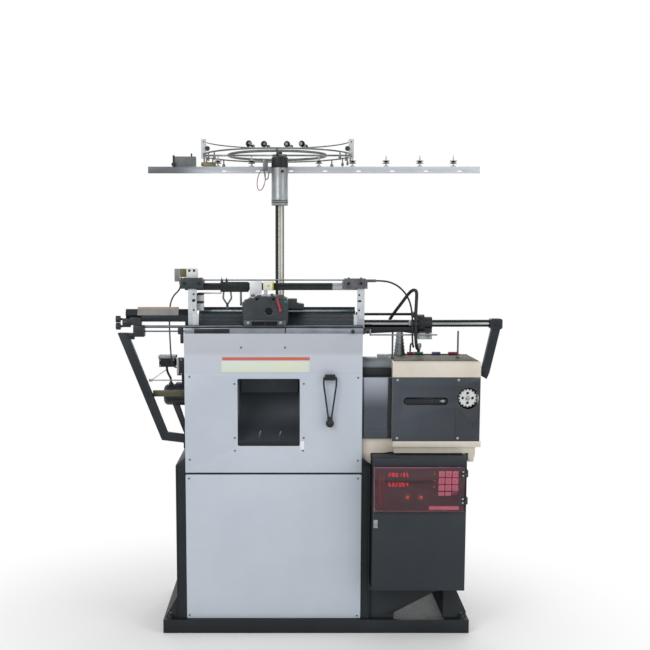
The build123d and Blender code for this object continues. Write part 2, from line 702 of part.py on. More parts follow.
# Tube bracket: tapered casting on the end of the bed frame, with the split hub of the tube
# and a silver clamp under it.
rear_rod_y = 96.0
rear_rod_z = 1093.0
hub_left = 484.0
with BuildPart() as tube_bracket:
    arm = [(frame_right, 1032), (frame_right, tube_z - tube_r), (hub_left, tube_z - tube_r),
           (hub_left, 1030), (430, 1038)]
    slab_xz(arm, 14, 52)
    block(frame_right, 324, 52, 110, 1032, 1048)
    block(384, 400, 52, 86, 1038, 1048)
    bar_x(hub_left, hub_left + 22, tube_y, tube_z, 30)
    bar_x(hub_left + 22, hub_left + 48, tube_y, tube_z, 22)
    block(472, hub_left, 40, rear_rod_y + 10, 1084, 1102)
    block(486, 506, 8, 52, 1014, 1042)
    block(506, 531, 8, 52, 1014, 1050)
    bar_y(517, 4.5, 8, 1029, 7)
    bar_x(frame_right, hub_left + 48, tube_y, tube_z, tube_r, Mode.SUBTRACT)
tube_bracket.part.label = "tube_bracket"
export_step(tube_bracket.part, "parts/tube_bracket.step")

# Rear rod: black rod from a foot on the bed frame to the tube bracket.
with BuildPart() as rear_rod:
    bar_x(306, 472, rear_rod_y, rear_rod_z, 4.5)
    block(282, 306, rear_rod_y - 10, rear_rod_y + 10, frame_top, rear_rod_z + 7)
rear_rod.part.label = "rear_rod"
export_step(rear_rod.part, "parts/rear_rod.step")

# Right arm: end cap of the tube and the slanted bar down to the drive casting.
with BuildPart() as right_arm:
    block(tube_end, tube_end + 41, tube_y - 18, tube_y + 18, tube_z - 19, tube_z + 16)
    fillet(right_arm.edges().filter_by(Axis.Y), 7)
    arm_inside = [(case_right, 892), (case_right, 912), (case_right + 8, 912), (tube_end + 6, tube_z - 19)]
    arm_outside = [(tube_end + 35, tube_z - 19), (case_right + 33, 900), (case_right + 24, 878)]
    slab_xz(arm_inside + arm_outside, tube_y - 12, tube_y + 12)
right_arm.part.label = "right_arm"
export_step(right_arm.part, "parts/right_arm.step")

# Drive casting: cream housing with lips, a leg, a bracket to the body, and on its top a row
# of connectors and two thin pins.
pocket_left = case_left + 14
pocket_right = case_right - 7
pocket_low = case_bottom + lower_lip + 12
pocket_high = case_top - lip_height - 12
pocket_back = 200.0
wheel_x = 655.0
wheel_z = 815.0
wheel_r = 31.0
shaft_r = 8.0
cover_thick = 4.0
bearing = 14.0
link_low = 674.0        # joint with the link housing
pin_y = 100.0
socket_y = 226.0        # row of connectors on the casting
socket_top = case_top + 12
socket_spots = [(474, 497), (500, 530), (563, 592), (621, 654)]
with BuildPart() as drive_casting:
    block(case_left, case_right, 0, case_depth, case_bottom, case_top)
    fillet(drive_casting.edges().filter_by(Axis.Y).group_by(Axis.Z)[-1], 6)
    block(case_left, case_right, -cover_thick - 2, 0, case_top - lip_height, case_top - 4)
    block(case_left + 4, case_right + 4, -cover_thick - 2, 0, case_bottom, case_bottom + lower_lip)
    block(pocket_left, pocket_right, 0, pocket_back, pocket_low, pocket_high, Mode.SUBTRACT)
    bar_y(wheel_x, pocket_back - 40, case_depth, wheel_z, shaft_r + bearing)
    bar_y(wheel_x, pocket_back - 40, case_depth - 20, wheel_z, shaft_r + running, Mode.SUBTRACT)
    keel_left = case_left + 8
    keel_low = case_bottom - 21
    keel = [(keel_left, case_bottom), (keel_left, keel_low), (660, keel_low), (660, 598), (677, 598),
            (683, keel_low), (683, case_bottom)]
    slab_xz(keel, 0, 240)
    wing = [(body_half, cabinet_top + 1), (cabinet_right + 1, cabinet_top - shoulder + 1),
            (cabinet_right + 1, box_top + 2), (372, box_top + 2), (case_left, keel_low),
            (case_left, link_low), (body_half, link_low)]
    slab_xz(wing, 24, 230)
    block(case_left, keel_left, 24, 230, keel_low, case_bottom)
    block(socket_spots[0][0] - 6, socket_spots[-1][1] + 6, socket_y - 10, socket_y + 10, case_top,
          case_top + 4)
    for x0, x1 in socket_spots:
        block(x0, x1, socket_y - 8, socket_y + 8, case_top + 4, socket_top)
    for x, r in ((409, 2.5), (634, 3)):
        bar_z(x, pin_y, case_top, 1035, r)
        bar_z(x, pin_y, case_top, case_top + 6, 7)
drive_casting.part.label = "drive_casting"
export_step(drive_casting.part, "parts/drive_casting.step")

# Drive cover: dark sheet over the pocket, with a round opening for the wheel and a
# recessed slot with its pull.
with BuildPart() as drive_cover:
    block(case_left, case_right, -cover_thick, 0, case_bottom + lower_lip, case_top - lip_height)
    with BuildSketch(front(0)):
        with Locations((wheel_x, wheel_z)):
            Circle(wheel_r + 5)
    extrude(amount=cover_thick, mode=Mode.SUBTRACT)
    block(612, 614, -cover_thick, -cover_thick + 1, case_bottom + lower_lip, wheel_z - wheel_r - 8,
          Mode.SUBTRACT)
    with BuildSketch(front(14)):
        with Locations((513, 805.5)):
            SlotOverall(176, 44)
    extrude(amount=14)
    with BuildSketch(front(11)):
        with Locations((513, 805.5)):
            SlotOverall(150, 26)
    extrude(amount=11 + cover_thick, mode=Mode.SUBTRACT)
    with BuildSketch(front(11)):
        with Locations((554, 805.5)):
            SlotOverall(46, 16)
    extrude(amount=12)
drive_cover.part.label = "drive_cover"
export_step(drive_cover.part, "parts/drive_cover.step")

# Hand wheel: white toothed wheel on the main shaft of the drive unit.
wheel_teeth = 16
wheel_thick = 14.0
with BuildPart() as hand_wheel:
    with BuildSketch(front(20)):
        with Locations((wheel_x, wheel_z)):
            Circle(wheel_r - 4)
            with PolarLocations(wheel_r - 4, wheel_teeth):
                Rectangle(8, 6)
            with PolarLocations(17, 4):
                Circle(5, mode=Mode.SUBTRACT)
    extrude(amount=wheel_thick)
    bar_y(wheel_x, 2, 20 - wheel_thick, wheel_z, 10)
    bar_y(wheel_x, 20, case_depth - 21, wheel_z, shaft_r)
hand_wheel.part.label = "hand_wheel"
export_step(hand_wheel.part, "parts/hand_wheel.step")

# Ribbed sleeve: grey tapered rubber boot standing on the casting, left of the connectors.
boot_x = 447.0
boot_height = 84.0
with BuildPart() as ribbed_sleeve:
    rings = []
    for i in range(6):
        step = 10 + 12 * i
        wide = 20 - 1.4 * i
        rings += [(boot_x + wide, case_top + step), (boot_x + wide - 3, case_top + step),
                  (boot_x + wide - 3, case_top + step + 5), (boot_x + wide - 1.4, case_top + step + 5)]
    with BuildSketch(front(socket_y)):
        with BuildLine():
            Polyline((boot_x, case_top), (boot_x + 20, case_top), *rings,
                     (boot_x + 11, case_top + boot_height), (boot_x, case_top + boot_height), close=True)
        make_face()
    revolve(axis=Axis((boot_x, socket_y, 0), (0, 0, 1)))
ribbed_sleeve.part.label = "ribbed_sleeve"
export_step(ribbed_sleeve.part, "parts/ribbed_sleeve.step")

# Link housing: dark glossy housing between the body and the drive casting.
link_top = 884.0
with BuildPart() as link_housing:
    block(body_half, case_left, 20, 230, link_low, link_top)
    block(cover_half + 6, case_left - 8, 10, 20, 678, link_top)
    block(cover_half + 6, case_left - 8, 8, 10, 678, 706)
link_housing.part.label = "link_housing"
export_step(link_housing.part, "parts/link_housing.step")

# Shaft cover: grey drum above the link housing, with a small box on it.
drum_r = 33.0
with BuildPart() as shaft_cover:
    bar_x(body_half, case_left, 70, link_top + drum_r, drum_r)
    block(body_half, case_left, 40, 100, link_top, link_top + 14)
    block(body_half, case_left, 60, 80, link_top + 14, link_top + drum_r)
    block(354, 392, 56, 84, link_top + 2 * drum_r - 6, link_top + 2 * drum_r + 8)
shaft_cover.part.label = "shaft_cover"
export_step(shaft_cover.part, "parts/shaft_cover.step")

panel_front = box_front - 3
pane_front = panel_front - 11
hinge_x = box_right - 4
hinge_y = pane_front - 1
hinge_spots = (562.0, 470.0)
knuckle_r = 4.0
pin_r = 1.5

# Controller box: folded steel box with a lower door, louvres and two hinges.
with BuildPart() as controller_box:
    block(box_left, box_right, box_front, box_back, box_low, box_top)
    block(box_left + box_wall, box_right - box_wall, box_front, box_front + 2, panel_low + 4,
          panel_high, Mode.SUBTRACT)
    block(box_left + 1, box_right - 1, box_front - 3, box_front, box_low + 4, panel_low)
    block(box_left - 0.5, box_left + 1, box_front - 3, box_front + 20, box_low + 4, panel_low)
    block(cabinet_right, box_left, 20, 100, 240, 540)
    for i in range(6):
        z = 230.0 + 12 * i
        block(box_right - 2, box_right, -20, 80, z, z + 4, Mode.SUBTRACT)
    for z in hinge_spots:
        bar_z(hinge_x, hinge_y, z, z + 22, pin_r)
        for z0, z1 in ((z, z + 7), (z + 15, z + 22)):
            bar_z(hinge_x, hinge_y, z0, z1, knuckle_r)
            block(hinge_x, box_right + 2, hinge_y - 1, hinge_y + 1, z0, z1)
        block(box_right, box_right + 2, hinge_y - 1, box_front + 12, z, z + 22)
controller_box.part.label = "controller_box"
export_step(controller_box.part, "parts/controller_box.step")

# Keypad panel: flat panel with two display windows, lamps and raised keys.
with BuildPart() as keypad_panel:
    block(box_left + box_wall, box_right - box_wall, panel_front, box_front + 2, panel_low + 4,
          panel_high)
    for z in (575, 542):
        block(380, 456, panel_front, panel_front + 1, z - 15, z, Mode.SUBTRACT)
    with BuildSketch(front(panel_front)):
        with Locations((583, 547)):
            with GridLocations(23, 23, 3, 3):
                RectangleRounded(19, 19, 3)
        with Locations((560, 503), (583, 503), (605, 507)):
            RectangleRounded(19, 14, 3)
        with Locations((536, 571), (536, 547), (536, 527)):
            Circle(3)
    extrude(amount=2)
keypad_panel.part.label = "keypad_panel"
export_step(keypad_panel.part, "parts/keypad_panel.step")

# Dials: two small gold knobs that turn in the keypad panel.
for name, x in (("dial_left", 448.0), ("dial_right", 492.0)):
    with BuildPart() as dial:
        bar_y(x, panel_front - 5, panel_front - 0.3, 492, 7.5)
        chamfer(dial.edges().group_by(Axis.Y)[0], 1.2)
        block(x - 1, x + 1, panel_front - 6, panel_front - 5, 487, 498.5)
    dial.part.label = name
    export_step(dial.part, f"parts/{name}.step")

# Red cover: transparent door over the keypad, with folded rims, on two hinges.
pane_low = panel_low + 2
pane_high = panel_high + 8
pane_right = hinge_x - knuckle_r - 1
rim_back = panel_front - 0.5
with BuildPart() as red_cover:
    block(box_left, pane_right, pane_front, pane_front + 3, pane_low, pane_high)
    block(box_left, pane_right, pane_front + 3, rim_back, pane_high - 3, pane_high)
    block(box_left, pane_right, pane_front + 3, rim_back, pane_low, pane_low + 3)
    block(box_left, box_left + 3, pane_front + 3, rim_back, pane_low + 3, pane_high - 3)
    for z in hinge_spots:
        block(pane_right - 11, pane_right, pane_front - 2, pane_front, z, z + 22)
        block(hinge_x - knuckle_r - 3, hinge_x, pane_front - 2, pane_front, z + 7.5, z + 14.5)
        bar_z(hinge_x, hinge_y, z + 7.5, z + 14.5, knuckle_r)
        bar_z(hinge_x, hinge_y, z + 7.5, z + 14.5, pin_r + running, Mode.SUBTRACT)
red_cover.part.label = "red_cover"
export_step(red_cover.part, "parts/red_cover.step")

# Yarn stand: chrome post on a flange, aluminium sleeve with collars, black hub.
with BuildPart() as post:
    bar_z(post_x, post_y, body_top, body_top + 12, 46)
    for angle in range(4):
        x, y = ((1, 1), (1, -1), (-1, 1), (-1, -1))[angle]
        bar_z(post_x + 26 * x, post_y + 26 * y, body_top + 12, body_top + 19, 6)
    bar_z(post_x, post_y, body_top + 12, body_top + 40, 24)
    bar_z(post_x, post_y, body_top + 40, sleeve_low + 40, post_r)
    fillet(post.faces().sort_by(Axis.Z)[-1].edges(), 2)
post.part.label = "post"
export_step(post.part, "parts/post.step")

with BuildPart() as post_sleeve:
    bar_z(post_x, post_y, sleeve_low, sleeve_high, sleeve_r)
    bar_z(post_x, post_y, sleeve_low, sleeve_low + 40, post_r, Mode.SUBTRACT)
    bar_z(post_x, post_y, sleeve_low + 20, sleeve_low + 23, sleeve_r + 1)
    bar_z(post_x, post_y, sleeve_low + 20, sleeve_low + 23, post_r, Mode.SUBTRACT)
    bar_y(post_x + 10, post_y - sleeve_r - 5, post_y - sleeve_r + 3, 1590, 5)
post_sleeve.part.label = "post_sleeve"
export_step(post_sleeve.part, "parts/post_sleeve.step")

with BuildPart() as stand_hub:
    bar_z(post_x, post_y, sleeve_high, hub_high, sleeve_r + 0.5)
    bar_z(post_x, post_y, hub_high, ring_z + 22, 9)
    chamfer(stand_hub.faces().sort_by(Axis.Z)[-1].edges(), 2)
    block(post_x - 14, post_x + 14, post_y + 20, post_y + 36, sleeve_high, 1634)
stand_hub.part.label = "stand_hub"
export_step(stand_hub.part, "parts/stand_hub.step")

# Yarn ring: two round wires on spokes, end plates, a half ring behind with four spring disc
# tension units, and eyelets that hang from the outer wire.
outer_wire = 3.0
inner_wire = 5.0
arch_wire = 2.5
with BuildPart() as yarn_ring:
    for radius, thick in ((outer_ring, outer_wire), (inner_ring, inner_wire)):
        with BuildSketch(Plane(origin=(ring_x + radius, post_y, ring_z), x_dir=(1, 0, 0), z_dir=(0, -1, 0))):
            RegularPolygon(thick, 8)
        revolve(axis=Axis((ring_x, post_y, 0), (0, 0, 1)))
    with BuildSketch(Plane.XY.offset(ring_z - 3)):
        with Locations((ring_x, post_y)):
            Rectangle(2 * outer_ring, 7)
            Rectangle(7, 2 * outer_ring)
        with Locations((post_x, post_y)):
            Circle(26)
            Circle(9, mode=Mode.SUBTRACT)
    extrude(amount=6)
    block(post_x - 26, post_x + 26, post_y - 12, post_y - 9, hub_high, ring_z - 3)
    for side in (-1, 1):
        x = ring_x + side * outer_ring
        block(x - 9, x + 9, post_y - 2, post_y + 2, ring_z - 12, arch_z + 6)
        bar_y(x - side * 14, post_y - 6, post_y + 2, 1672, 8)
        block(min(x - side * 14, x - side * 8), max(x - side * 14, x - side * 8), post_y - 2, post_y + 2,
              1664, 1680)
    with BuildSketch(Plane(origin=(ring_x + outer_ring, post_y, arch_z), x_dir=(1, 0, 0),
                           z_dir=(0, -1, 0))):
        RegularPolygon(arch_wire, 8)
    revolve(axis=Axis((ring_x, post_y, 0), (0, 0, 1)), revolution_arc=180)
    for angle in (115.6, 102, 82.2, 69):
        place = Plane(origin=(ring_x, post_y, arch_z)).rotated((0, 0, angle - 90))
        y = outer_ring
        with BuildSketch(place.offset(arch_wire - 0.5)):
            with Locations((0, y)):
                Circle(4)
        extrude(amount=8)
        with BuildSketch(Plane(origin=place.origin + place.y_dir * (y - 6), x_dir=place.x_dir,
                               z_dir=-place.y_dir)):
            with Locations((0, 14)):
                Circle(12)
            with Locations((17, 4)):
                Circle(7)
            with Locations((9, 8)):
                Rectangle(20, 4, rotation=-25)
        extrude(amount=5)
        with BuildSketch(place.offset(arch_wire + 2)):
            with Locations((0, y - 3)):
                Rectangle(6, 10)
        extrude(amount=6)
    for angle in (140, 155, 168, 192, 205, 215, 325, 335, 348, 15, 25, 40):
        place = Plane(origin=(ring_x, post_y, ring_z)).rotated((0, 0, angle))
        with BuildSketch(place.offset(-1)):
            with Locations((outer_ring, 0)):
                Circle(2.5)
        extrude(amount=-16)
        with BuildSketch(Plane(origin=place.origin + place.x_dir * (outer_ring - 2) - Vector(0, 0, 22),
                               x_dir=place.y_dir, z_dir=place.x_dir)):
            Circle(7)
            Circle(3.5, mode=Mode.SUBTRACT)
        extrude(amount=4)
yarn_ring.part.label = "yarn_ring"
export_step(yarn_ring.part, "parts/yarn_ring.step")

# Yarn rail: aluminium angle behind the hub, with disc guide posts and a dark stop box with a
# knob and a spike.
yarn_rail_y = post_y + 36
guide_y = yarn_rail_y + 12
rail_top = yarn_rail_low + yarn_rail_tall
with BuildPart() as yarn_rail:
    angle_iron = [(yarn_rail_y, yarn_rail_low), (yarn_rail_y, yarn_rail_low + yarn_rail_tall),
                  (yarn_rail_y + 24, yarn_rail_low + yarn_rail_tall),
                  (yarn_rail_y + 24, yarn_rail_low + yarn_rail_tall - 3),
                  (yarn_rail_y + 3, yarn_rail_low + yarn_rail_tall - 3), (yarn_rail_y + 3, yarn_rail_low)]
    slab_yz(angle_iron, yarn_rail_left, yarn_rail_right)
    with BuildSketch(front(yarn_rail_y + 3)):
        for i in range(-1, 7):
            with Locations((-60 + guide_pitch * i, yarn_rail_low + 8)):
                SlotOverall(16, 5)
    extrude(amount=3, mode=Mode.SUBTRACT)
    for i in (-2, -1, 1, 2, 3, 4, 5):
        x = 40 + guide_pitch * i
        with BuildSketch(front(guide_y)):
            with BuildLine():
                Polyline((x, rail_top), (x + 9, rail_top), (x + 9, rail_top + 3), (x + 3, rail_top + 5),
                         (x + 3, rail_top + 10), (x + 13, rail_top + 12), (x + 13, rail_top + 14),
                         (x + 5, rail_top + 17), (x + 13, rail_top + 20), (x + 13, rail_top + 22),
                         (x + 3, rail_top + 25), (x + 2, rail_top + 40), (x, rail_top + 40), close=True)
            make_face()
        revolve(axis=Axis((x, guide_y, 0), (0, 0, 1)))
    block(-361, -284, yarn_rail_y + 1, yarn_rail_y + 23, rail_top, rail_top + 36)
    block(-367, -361, yarn_rail_y - 3, yarn_rail_y + 23, rail_top, rail_top + 40)
    bar_y(-364, yarn_rail_y - 10, yarn_rail_y - 3, rail_top + 7, 7)
    bar_z(-300, guide_y, rail_top + 36, rail_top + 48, 2.5)
    block(-257, -212, yarn_rail_y + 1, yarn_rail_y + 8, rail_top, rail_top + 16)
    bar_x(-264, -257, yarn_rail_y + 8, rail_top + 9, 7)
yarn_rail.part.label = "yarn_rail"
export_step(yarn_rail.part, "parts/yarn_rail.step")


def cable(points, radius):
    """round cable along straight runs joined by arcs as large as the runs allow"""
    spots = [Vector(*p) for p in points]
    radii = []
    for before, here, after in zip(spots, spots[1:], spots[2:]):
        turn = (here - before).get_angle(after - here)
        reach = 0.45 * min((here - before).length, (after - here).length)
        radii.append(reach / tan(radians(turn) / 2))
    print([round(r) for r in radii], "against a cable of radius", radius)
    with BuildPart() as tube:
        with BuildLine() as route:
            FilletPolyline(*points, radius=radii)
        with BuildSketch(Plane(route.line @ 0, z_dir=route.line % 0)):
            Circle(radius)
        sweep(path=route.line)
    return tube.part


# Sensor cable: from the plug beside the sensor down behind the tray to the switch box.
sensor_cable = cable([(plug_x, 47, 1198), (plug_x, 47, 1187), (plug_x - 7, 50, 1174), (-338, 58, 1158),
                      (-350, 66, 1132), (-354, 72, 1098), (-355, 74, 1060), (-354, 73, 1022),
                      (-352, 67, 986), (-349, 57, 955), (-345, 47, 930), (-337, 42, 915),
                      (-326, 42, 915)], 2.5)
sensor_cable.label = "sensor_cable"
export_step(sensor_cable, "parts/sensor_cable.step")

# Motor cable: from the junction box into the terminal box of the motor.
motor_cable = cable([(-372, 130, 910), (-372, 130, 896), (-366, 131, 881), (-358, 130, 868),
                     (-358, 130, 853)], 4.0)
motor_cable.label = "motor_cable"
export_step(motor_cable, "parts/motor_cable.step")

# Feeder cable: from the right clamp in an arc to the trunk cable, then down beside it.
feeder_cable = cable([(344, 40, 1208), (360, 40, 1208), (388, 40, 1205), (418, 39, 1192), (443, 36, 1168),
                      (458, 28, 1139), (463, 10, 1108), (464, -6, 1072), (463, -12, 1034),
                      (465, -4, 1003), (471, 24, 986), (478, 70, 983), (483, 126, 985), (485, 178, 986),
                      (485, 208, 982), (485, socket_y, 968), (485, socket_y, socket_top)], 3.0)
feeder_cable.label = "feeder_cable"
export_step(feeder_cable, "parts/feeder_cable.step")

# Trunk cable: thick loop from the bracket's foot over the tube, down its front and back to
# the connectors.
trunk_cable = cable([(392, 76, 1048), (392, 76, 1067), (403, 69, 1090), (432, 38, 1134), (459, 6, 1178),
                     (476, -13, 1179), (475, -13, 1142), (473, -12, 1086), (474, -13, 1030),
                     (477, -3, 1000), (484, 24, 981), (494, 66, 975), (505, 118, 978), (513, 170, 982),
                     (515, 203, 981), (515, socket_y, 969), (515, socket_y, socket_top)], 5.5)
trunk_cable.label = "trunk_cable"
export_step(trunk_cable, "parts/trunk_cable.step")
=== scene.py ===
import math

import bmesh
import bpy
from mathutils import Matrix, Vector


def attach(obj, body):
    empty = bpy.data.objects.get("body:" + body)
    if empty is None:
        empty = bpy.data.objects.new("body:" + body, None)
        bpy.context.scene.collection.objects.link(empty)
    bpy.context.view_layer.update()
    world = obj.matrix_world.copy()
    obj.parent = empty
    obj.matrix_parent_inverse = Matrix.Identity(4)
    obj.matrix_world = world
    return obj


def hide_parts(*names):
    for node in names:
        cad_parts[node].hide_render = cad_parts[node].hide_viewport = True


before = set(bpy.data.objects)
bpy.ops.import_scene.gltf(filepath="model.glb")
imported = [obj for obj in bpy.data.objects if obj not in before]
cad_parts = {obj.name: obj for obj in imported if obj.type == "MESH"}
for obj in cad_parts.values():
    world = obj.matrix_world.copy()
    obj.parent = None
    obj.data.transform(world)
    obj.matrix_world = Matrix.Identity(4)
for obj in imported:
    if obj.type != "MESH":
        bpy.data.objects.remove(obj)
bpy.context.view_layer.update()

# Cables: four round cables in black rubber-like sheaths, moulded over stranded copper. Each leaves a
# gland or a socket straight, sags under its own weight and is drawn along the points it was bent by.
sensor_way = [(-313, 47, 1198), (-313, 47, 1187), (-320, 50, 1174), (-338, 58, 1158), (-350, 66, 1132),
              (-354, 72, 1098), (-355, 74, 1060), (-354, 73, 1022), (-352, 67, 986), (-349, 57, 955),
              (-345, 47, 930), (-337, 42, 915), (-326, 42, 915)]
motor_way = [(-372, 130, 910), (-372, 130, 896), (-366, 131, 881), (-358, 130, 868), (-358, 130, 853)]
feeder_way = [(344, 40, 1208), (360, 40, 1208), (388, 40, 1205), (418, 39, 1192), (443, 36, 1168),
              (458, 28, 1139), (463, 10, 1108), (464, -6, 1072), (463, -12, 1034), (465, -4, 1003),
              (471, 24, 986), (478, 70, 983), (483, 126, 985), (485, 178, 986), (485, 208, 982),
              (485, 226, 968), (485, 226, 952)]
trunk_way = [(392, 76, 1048), (392, 76, 1067), (403, 69, 1090), (432, 38, 1134), (459, 6, 1178),
             (476, -13, 1179), (475, -13, 1142), (473, -12, 1086), (474, -13, 1030), (477, -3, 1000),
             (484, 24, 981), (494, 66, 975), (505, 118, 978), (513, 170, 982), (515, 203, 981),
             (515, 226, 969), (515, 226, 952)]


def linear(code):
    """an sRGB hex colour in linear light"""
    parts = [int(code[i:i + 2], 16) / 255 for i in (1, 3, 5)]
    return [p / 12.92 if p <= 0.04045 else ((p + 0.055) / 1.055) ** 2.4 for p in parts] + [1.0]


def add(finish, kind, settings=None, inputs=None):
    """adds a node to a finish, with its settings, and links or sets its inputs"""
    node = finish.node_tree.nodes.new(kind)
    for key, value in (settings or {}).items():
        setattr(node, key, value)
    for key, value in (inputs or {}).items():
        if isinstance(value, bpy.types.NodeSocket):
            finish.node_tree.links.new(value, node.inputs[key])
        else:
            node.inputs[key].default_value = value
    return node


def surface(name, code, worn_code, patch_mm, roughness, spread, grain_mm, depth_mm, metallic=0.0, ior=1.5,
            coat=0.0, gleam=0.5, stretch=(1, 1, 1)):
    """a finish whose colour and gloss drift in patches, over a fine grain that catches the light"""
    finish = bpy.data.materials.new(name)
    finish.use_nodes = True
    shader = finish.node_tree.nodes["Principled BSDF"]
    shader.inputs["Metallic"].default_value = metallic
    shader.inputs["IOR"].default_value = ior
    shader.inputs["Coat Weight"].default_value = coat
    shader.inputs["Specular IOR Level"].default_value = gleam
    link = finish.node_tree.links.new
    place = add(finish, "ShaderNodeTexCoord")
    patch = add(finish, "ShaderNodeTexNoise", None,
                {"Vector": place.outputs["Object"], "Scale": 1000 / patch_mm, "Detail": 4.0,
                 "Roughness": 0.6})
    share = add(finish, "ShaderNodeMapRange", None,
                {"Value": patch.outputs["Fac"], "From Min": 0.35, "From Max": 0.7})
    tone = add(finish, "ShaderNodeMix", {"data_type": "RGBA"},
               {0: share.outputs["Result"], 6: linear(code), 7: linear(worn_code)})
    link(tone.outputs[2], shader.inputs["Base Color"])
    along = add(finish, "ShaderNodeMapping", None, {"Vector": place.outputs["Object"], "Scale": stretch})
    grain = add(finish, "ShaderNodeTexNoise", None,
                {"Vector": along.outputs["Vector"], "Scale": 1000 / grain_mm, "Detail": 2.0})
    gloss = add(finish, "ShaderNodeMapRange", None,
                {"Value": grain.outputs["Fac"], "From Min": 0.3, "From Max": 0.7,
                 "To Min": roughness - spread, "To Max": roughness + spread})
    link(gloss.outputs["Result"], shader.inputs["Roughness"])
    relief = add(finish, "ShaderNodeBump", None,
                 {"Height": grain.outputs["Fac"], "Distance": depth_mm / 1000, "Strength": 0.6})
    link(relief.outputs["Normal"], shader.inputs["Normal"])
    return finish


# Sheath: soft PVC, extruded, so it is near black with a dull sheen and a faint ripple along it.
sheath = surface("extruded_pvc_sheath", "#17191B", "#232629", 60, 0.5, 0.08, 6, 0.2, ior=1.53, gleam=0.3)
scene = bpy.context.scene


def cable(name, radius, way):
    """one cable on a smooth line through its route, standing for the solid of the same name"""
    line = bpy.data.curves.new(name, "CURVE")
    line.dimensions = "3D"
    run = line.splines.new("NURBS")
    run.points.add(len(way) - 1)
    for point, (x, y, z) in zip(run.points, way):
        point.co = (x / 1000, y / 1000, z / 1000, 1)
    run.order_u = 3
    run.use_endpoint_u = True
    line.resolution_u = 10
    line.bevel_depth = radius / 1000
    line.bevel_resolution = 5
    line.use_fill_caps = True
    line.materials.append(sheath)
    piece = bpy.data.objects.new(name, line)
    scene.collection.objects.link(piece)
    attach(piece, "frame")
    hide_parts(name.replace("_run", ""))


cable("sensor_cable_run", 2.5, sensor_way)
cable("motor_cable_run", 4, motor_way)
cable("feeder_cable_run", 3, feeder_way)
cable("trunk_cable_run", 5.5, trunk_way)

# Camera: a long lens at chest height, square on to the covers and tilted a little down. It stands off the
# machine's middle as in the photograph, so the frame is shifted to the machine and the lens isn't turned.
picture_side, focal_length = 650, 1049  # both in pixels
axis_column, axis_row = 285, 385  # where the lens looks straight ahead, in pixels from the upper left
off_middle, stand_off, eye_height, tilt_down = 0.039, 3.5, 1.290, 7
lens = bpy.data.cameras.new("photo_lens")
lens.sensor_width = 36
lens.lens = lens.sensor_width * focal_length / picture_side
lens.shift_x = (picture_side / 2 - axis_column) / picture_side
lens.shift_y = (axis_row - picture_side / 2) / picture_side
lens.clip_end = 50
camera = bpy.data.objects.new("photo_camera", lens)
camera.location = (off_middle, -stand_off, eye_height)
camera.rotation_euler = (math.radians(90 - tilt_down), 0, 0)
scene.collection.objects.link(camera)
scene.camera = camera

# Studio: a plain pale floor that keeps the machine's shadow and fades to white a pace away from it, and a
# white surround that the chrome and the glossy panels mirror too. Big soft lamps keep every side readable.
def seen_white(world_or_floor, out_kind, lit, plain):
    """shows plain white to the camera and in mirrors, and the lit surface to everything else"""
    path = add(world_or_floor, "ShaderNodeLightPath")
    mirror = add(world_or_floor, "ShaderNodeMath", {"operation": "MAXIMUM"},
                 {0: path.outputs["Is Glossy Ray"], 1: path.outputs["Is Transmission Ray"]})
    either = add(world_or_floor, "ShaderNodeMath", {"operation": "MAXIMUM"},
                 {0: path.outputs["Is Camera Ray"], 1: mirror.outputs[0]})
    both = add(world_or_floor, "ShaderNodeMixShader", None, {0: either.outputs[0], 1: lit, 2: plain})
    out = world_or_floor.node_tree.nodes[out_kind]
    world_or_floor.node_tree.links.new(both.outputs[0], out.inputs["Surface"])


room = bpy.data.worlds.new("soft_room")
room.use_nodes = True
scene.world = room
room_light = room.node_tree.nodes["Background"]
room_light.inputs["Color"].default_value = (1, 1, 1, 1)
room_light.inputs["Strength"].default_value = 0.62
room_white = add(room, "ShaderNodeBackground", None, {"Color": (1, 1, 1, 1), "Strength": 1.0})
seen_white(room, "World Output", room_light.outputs[0], room_white.outputs[0])

floor_shape = bmesh.new()
bmesh.ops.create_grid(floor_shape, x_segments=1, y_segments=1, size=9)
floor_mesh = bpy.data.meshes.new("studio_floor")
floor_shape.to_mesh(floor_mesh)
floor_shape.free()
floor = bpy.data.objects.new("studio_floor", floor_mesh)
scene.collection.objects.link(floor)
floor_paint = bpy.data.materials.new("matt_white_floor_paint")
floor_paint.use_nodes = True
floor_shader = floor_paint.node_tree.nodes["Principled BSDF"]
floor_shader.inputs["Base Color"].default_value = (0.93, 0.93, 0.93, 1)
floor_shader.inputs["Roughness"].default_value = 0.9
spot = add(floor_paint, "ShaderNodeTexCoord")
far_off = add(floor_paint, "ShaderNodeVectorMath", {"operation": "LENGTH"}, {0: spot.outputs["Object"]})
fade = add(floor_paint, "ShaderNodeMapRange", {"interpolation_type": "SMOOTHSTEP"},
           {"Value": far_off.outputs["Value"], "From Min": 0.6, "From Max": 1.5})
floor_white = add(floor_paint, "ShaderNodeEmission", None, {"Color": (1, 1, 1, 1), "Strength": 1.0})
far_floor = add(floor_paint, "ShaderNodeMixShader", None,
                {0: fade.outputs["Result"], 1: floor_shader.outputs[0], 2: floor_white.outputs[0]})
floor_path = add(floor_paint, "ShaderNodeLightPath")
seen_floor = add(floor_paint, "ShaderNodeMixShader", None,
                 {0: floor_path.outputs["Is Camera Ray"], 1: floor_shader.outputs[0],
                  2: far_floor.outputs[0]})
floor_out = floor_paint.node_tree.nodes["Material Output"]
floor_paint.node_tree.links.new(seen_floor.outputs[0], floor_out.inputs["Surface"])
floor_mesh.materials.append(floor_paint)


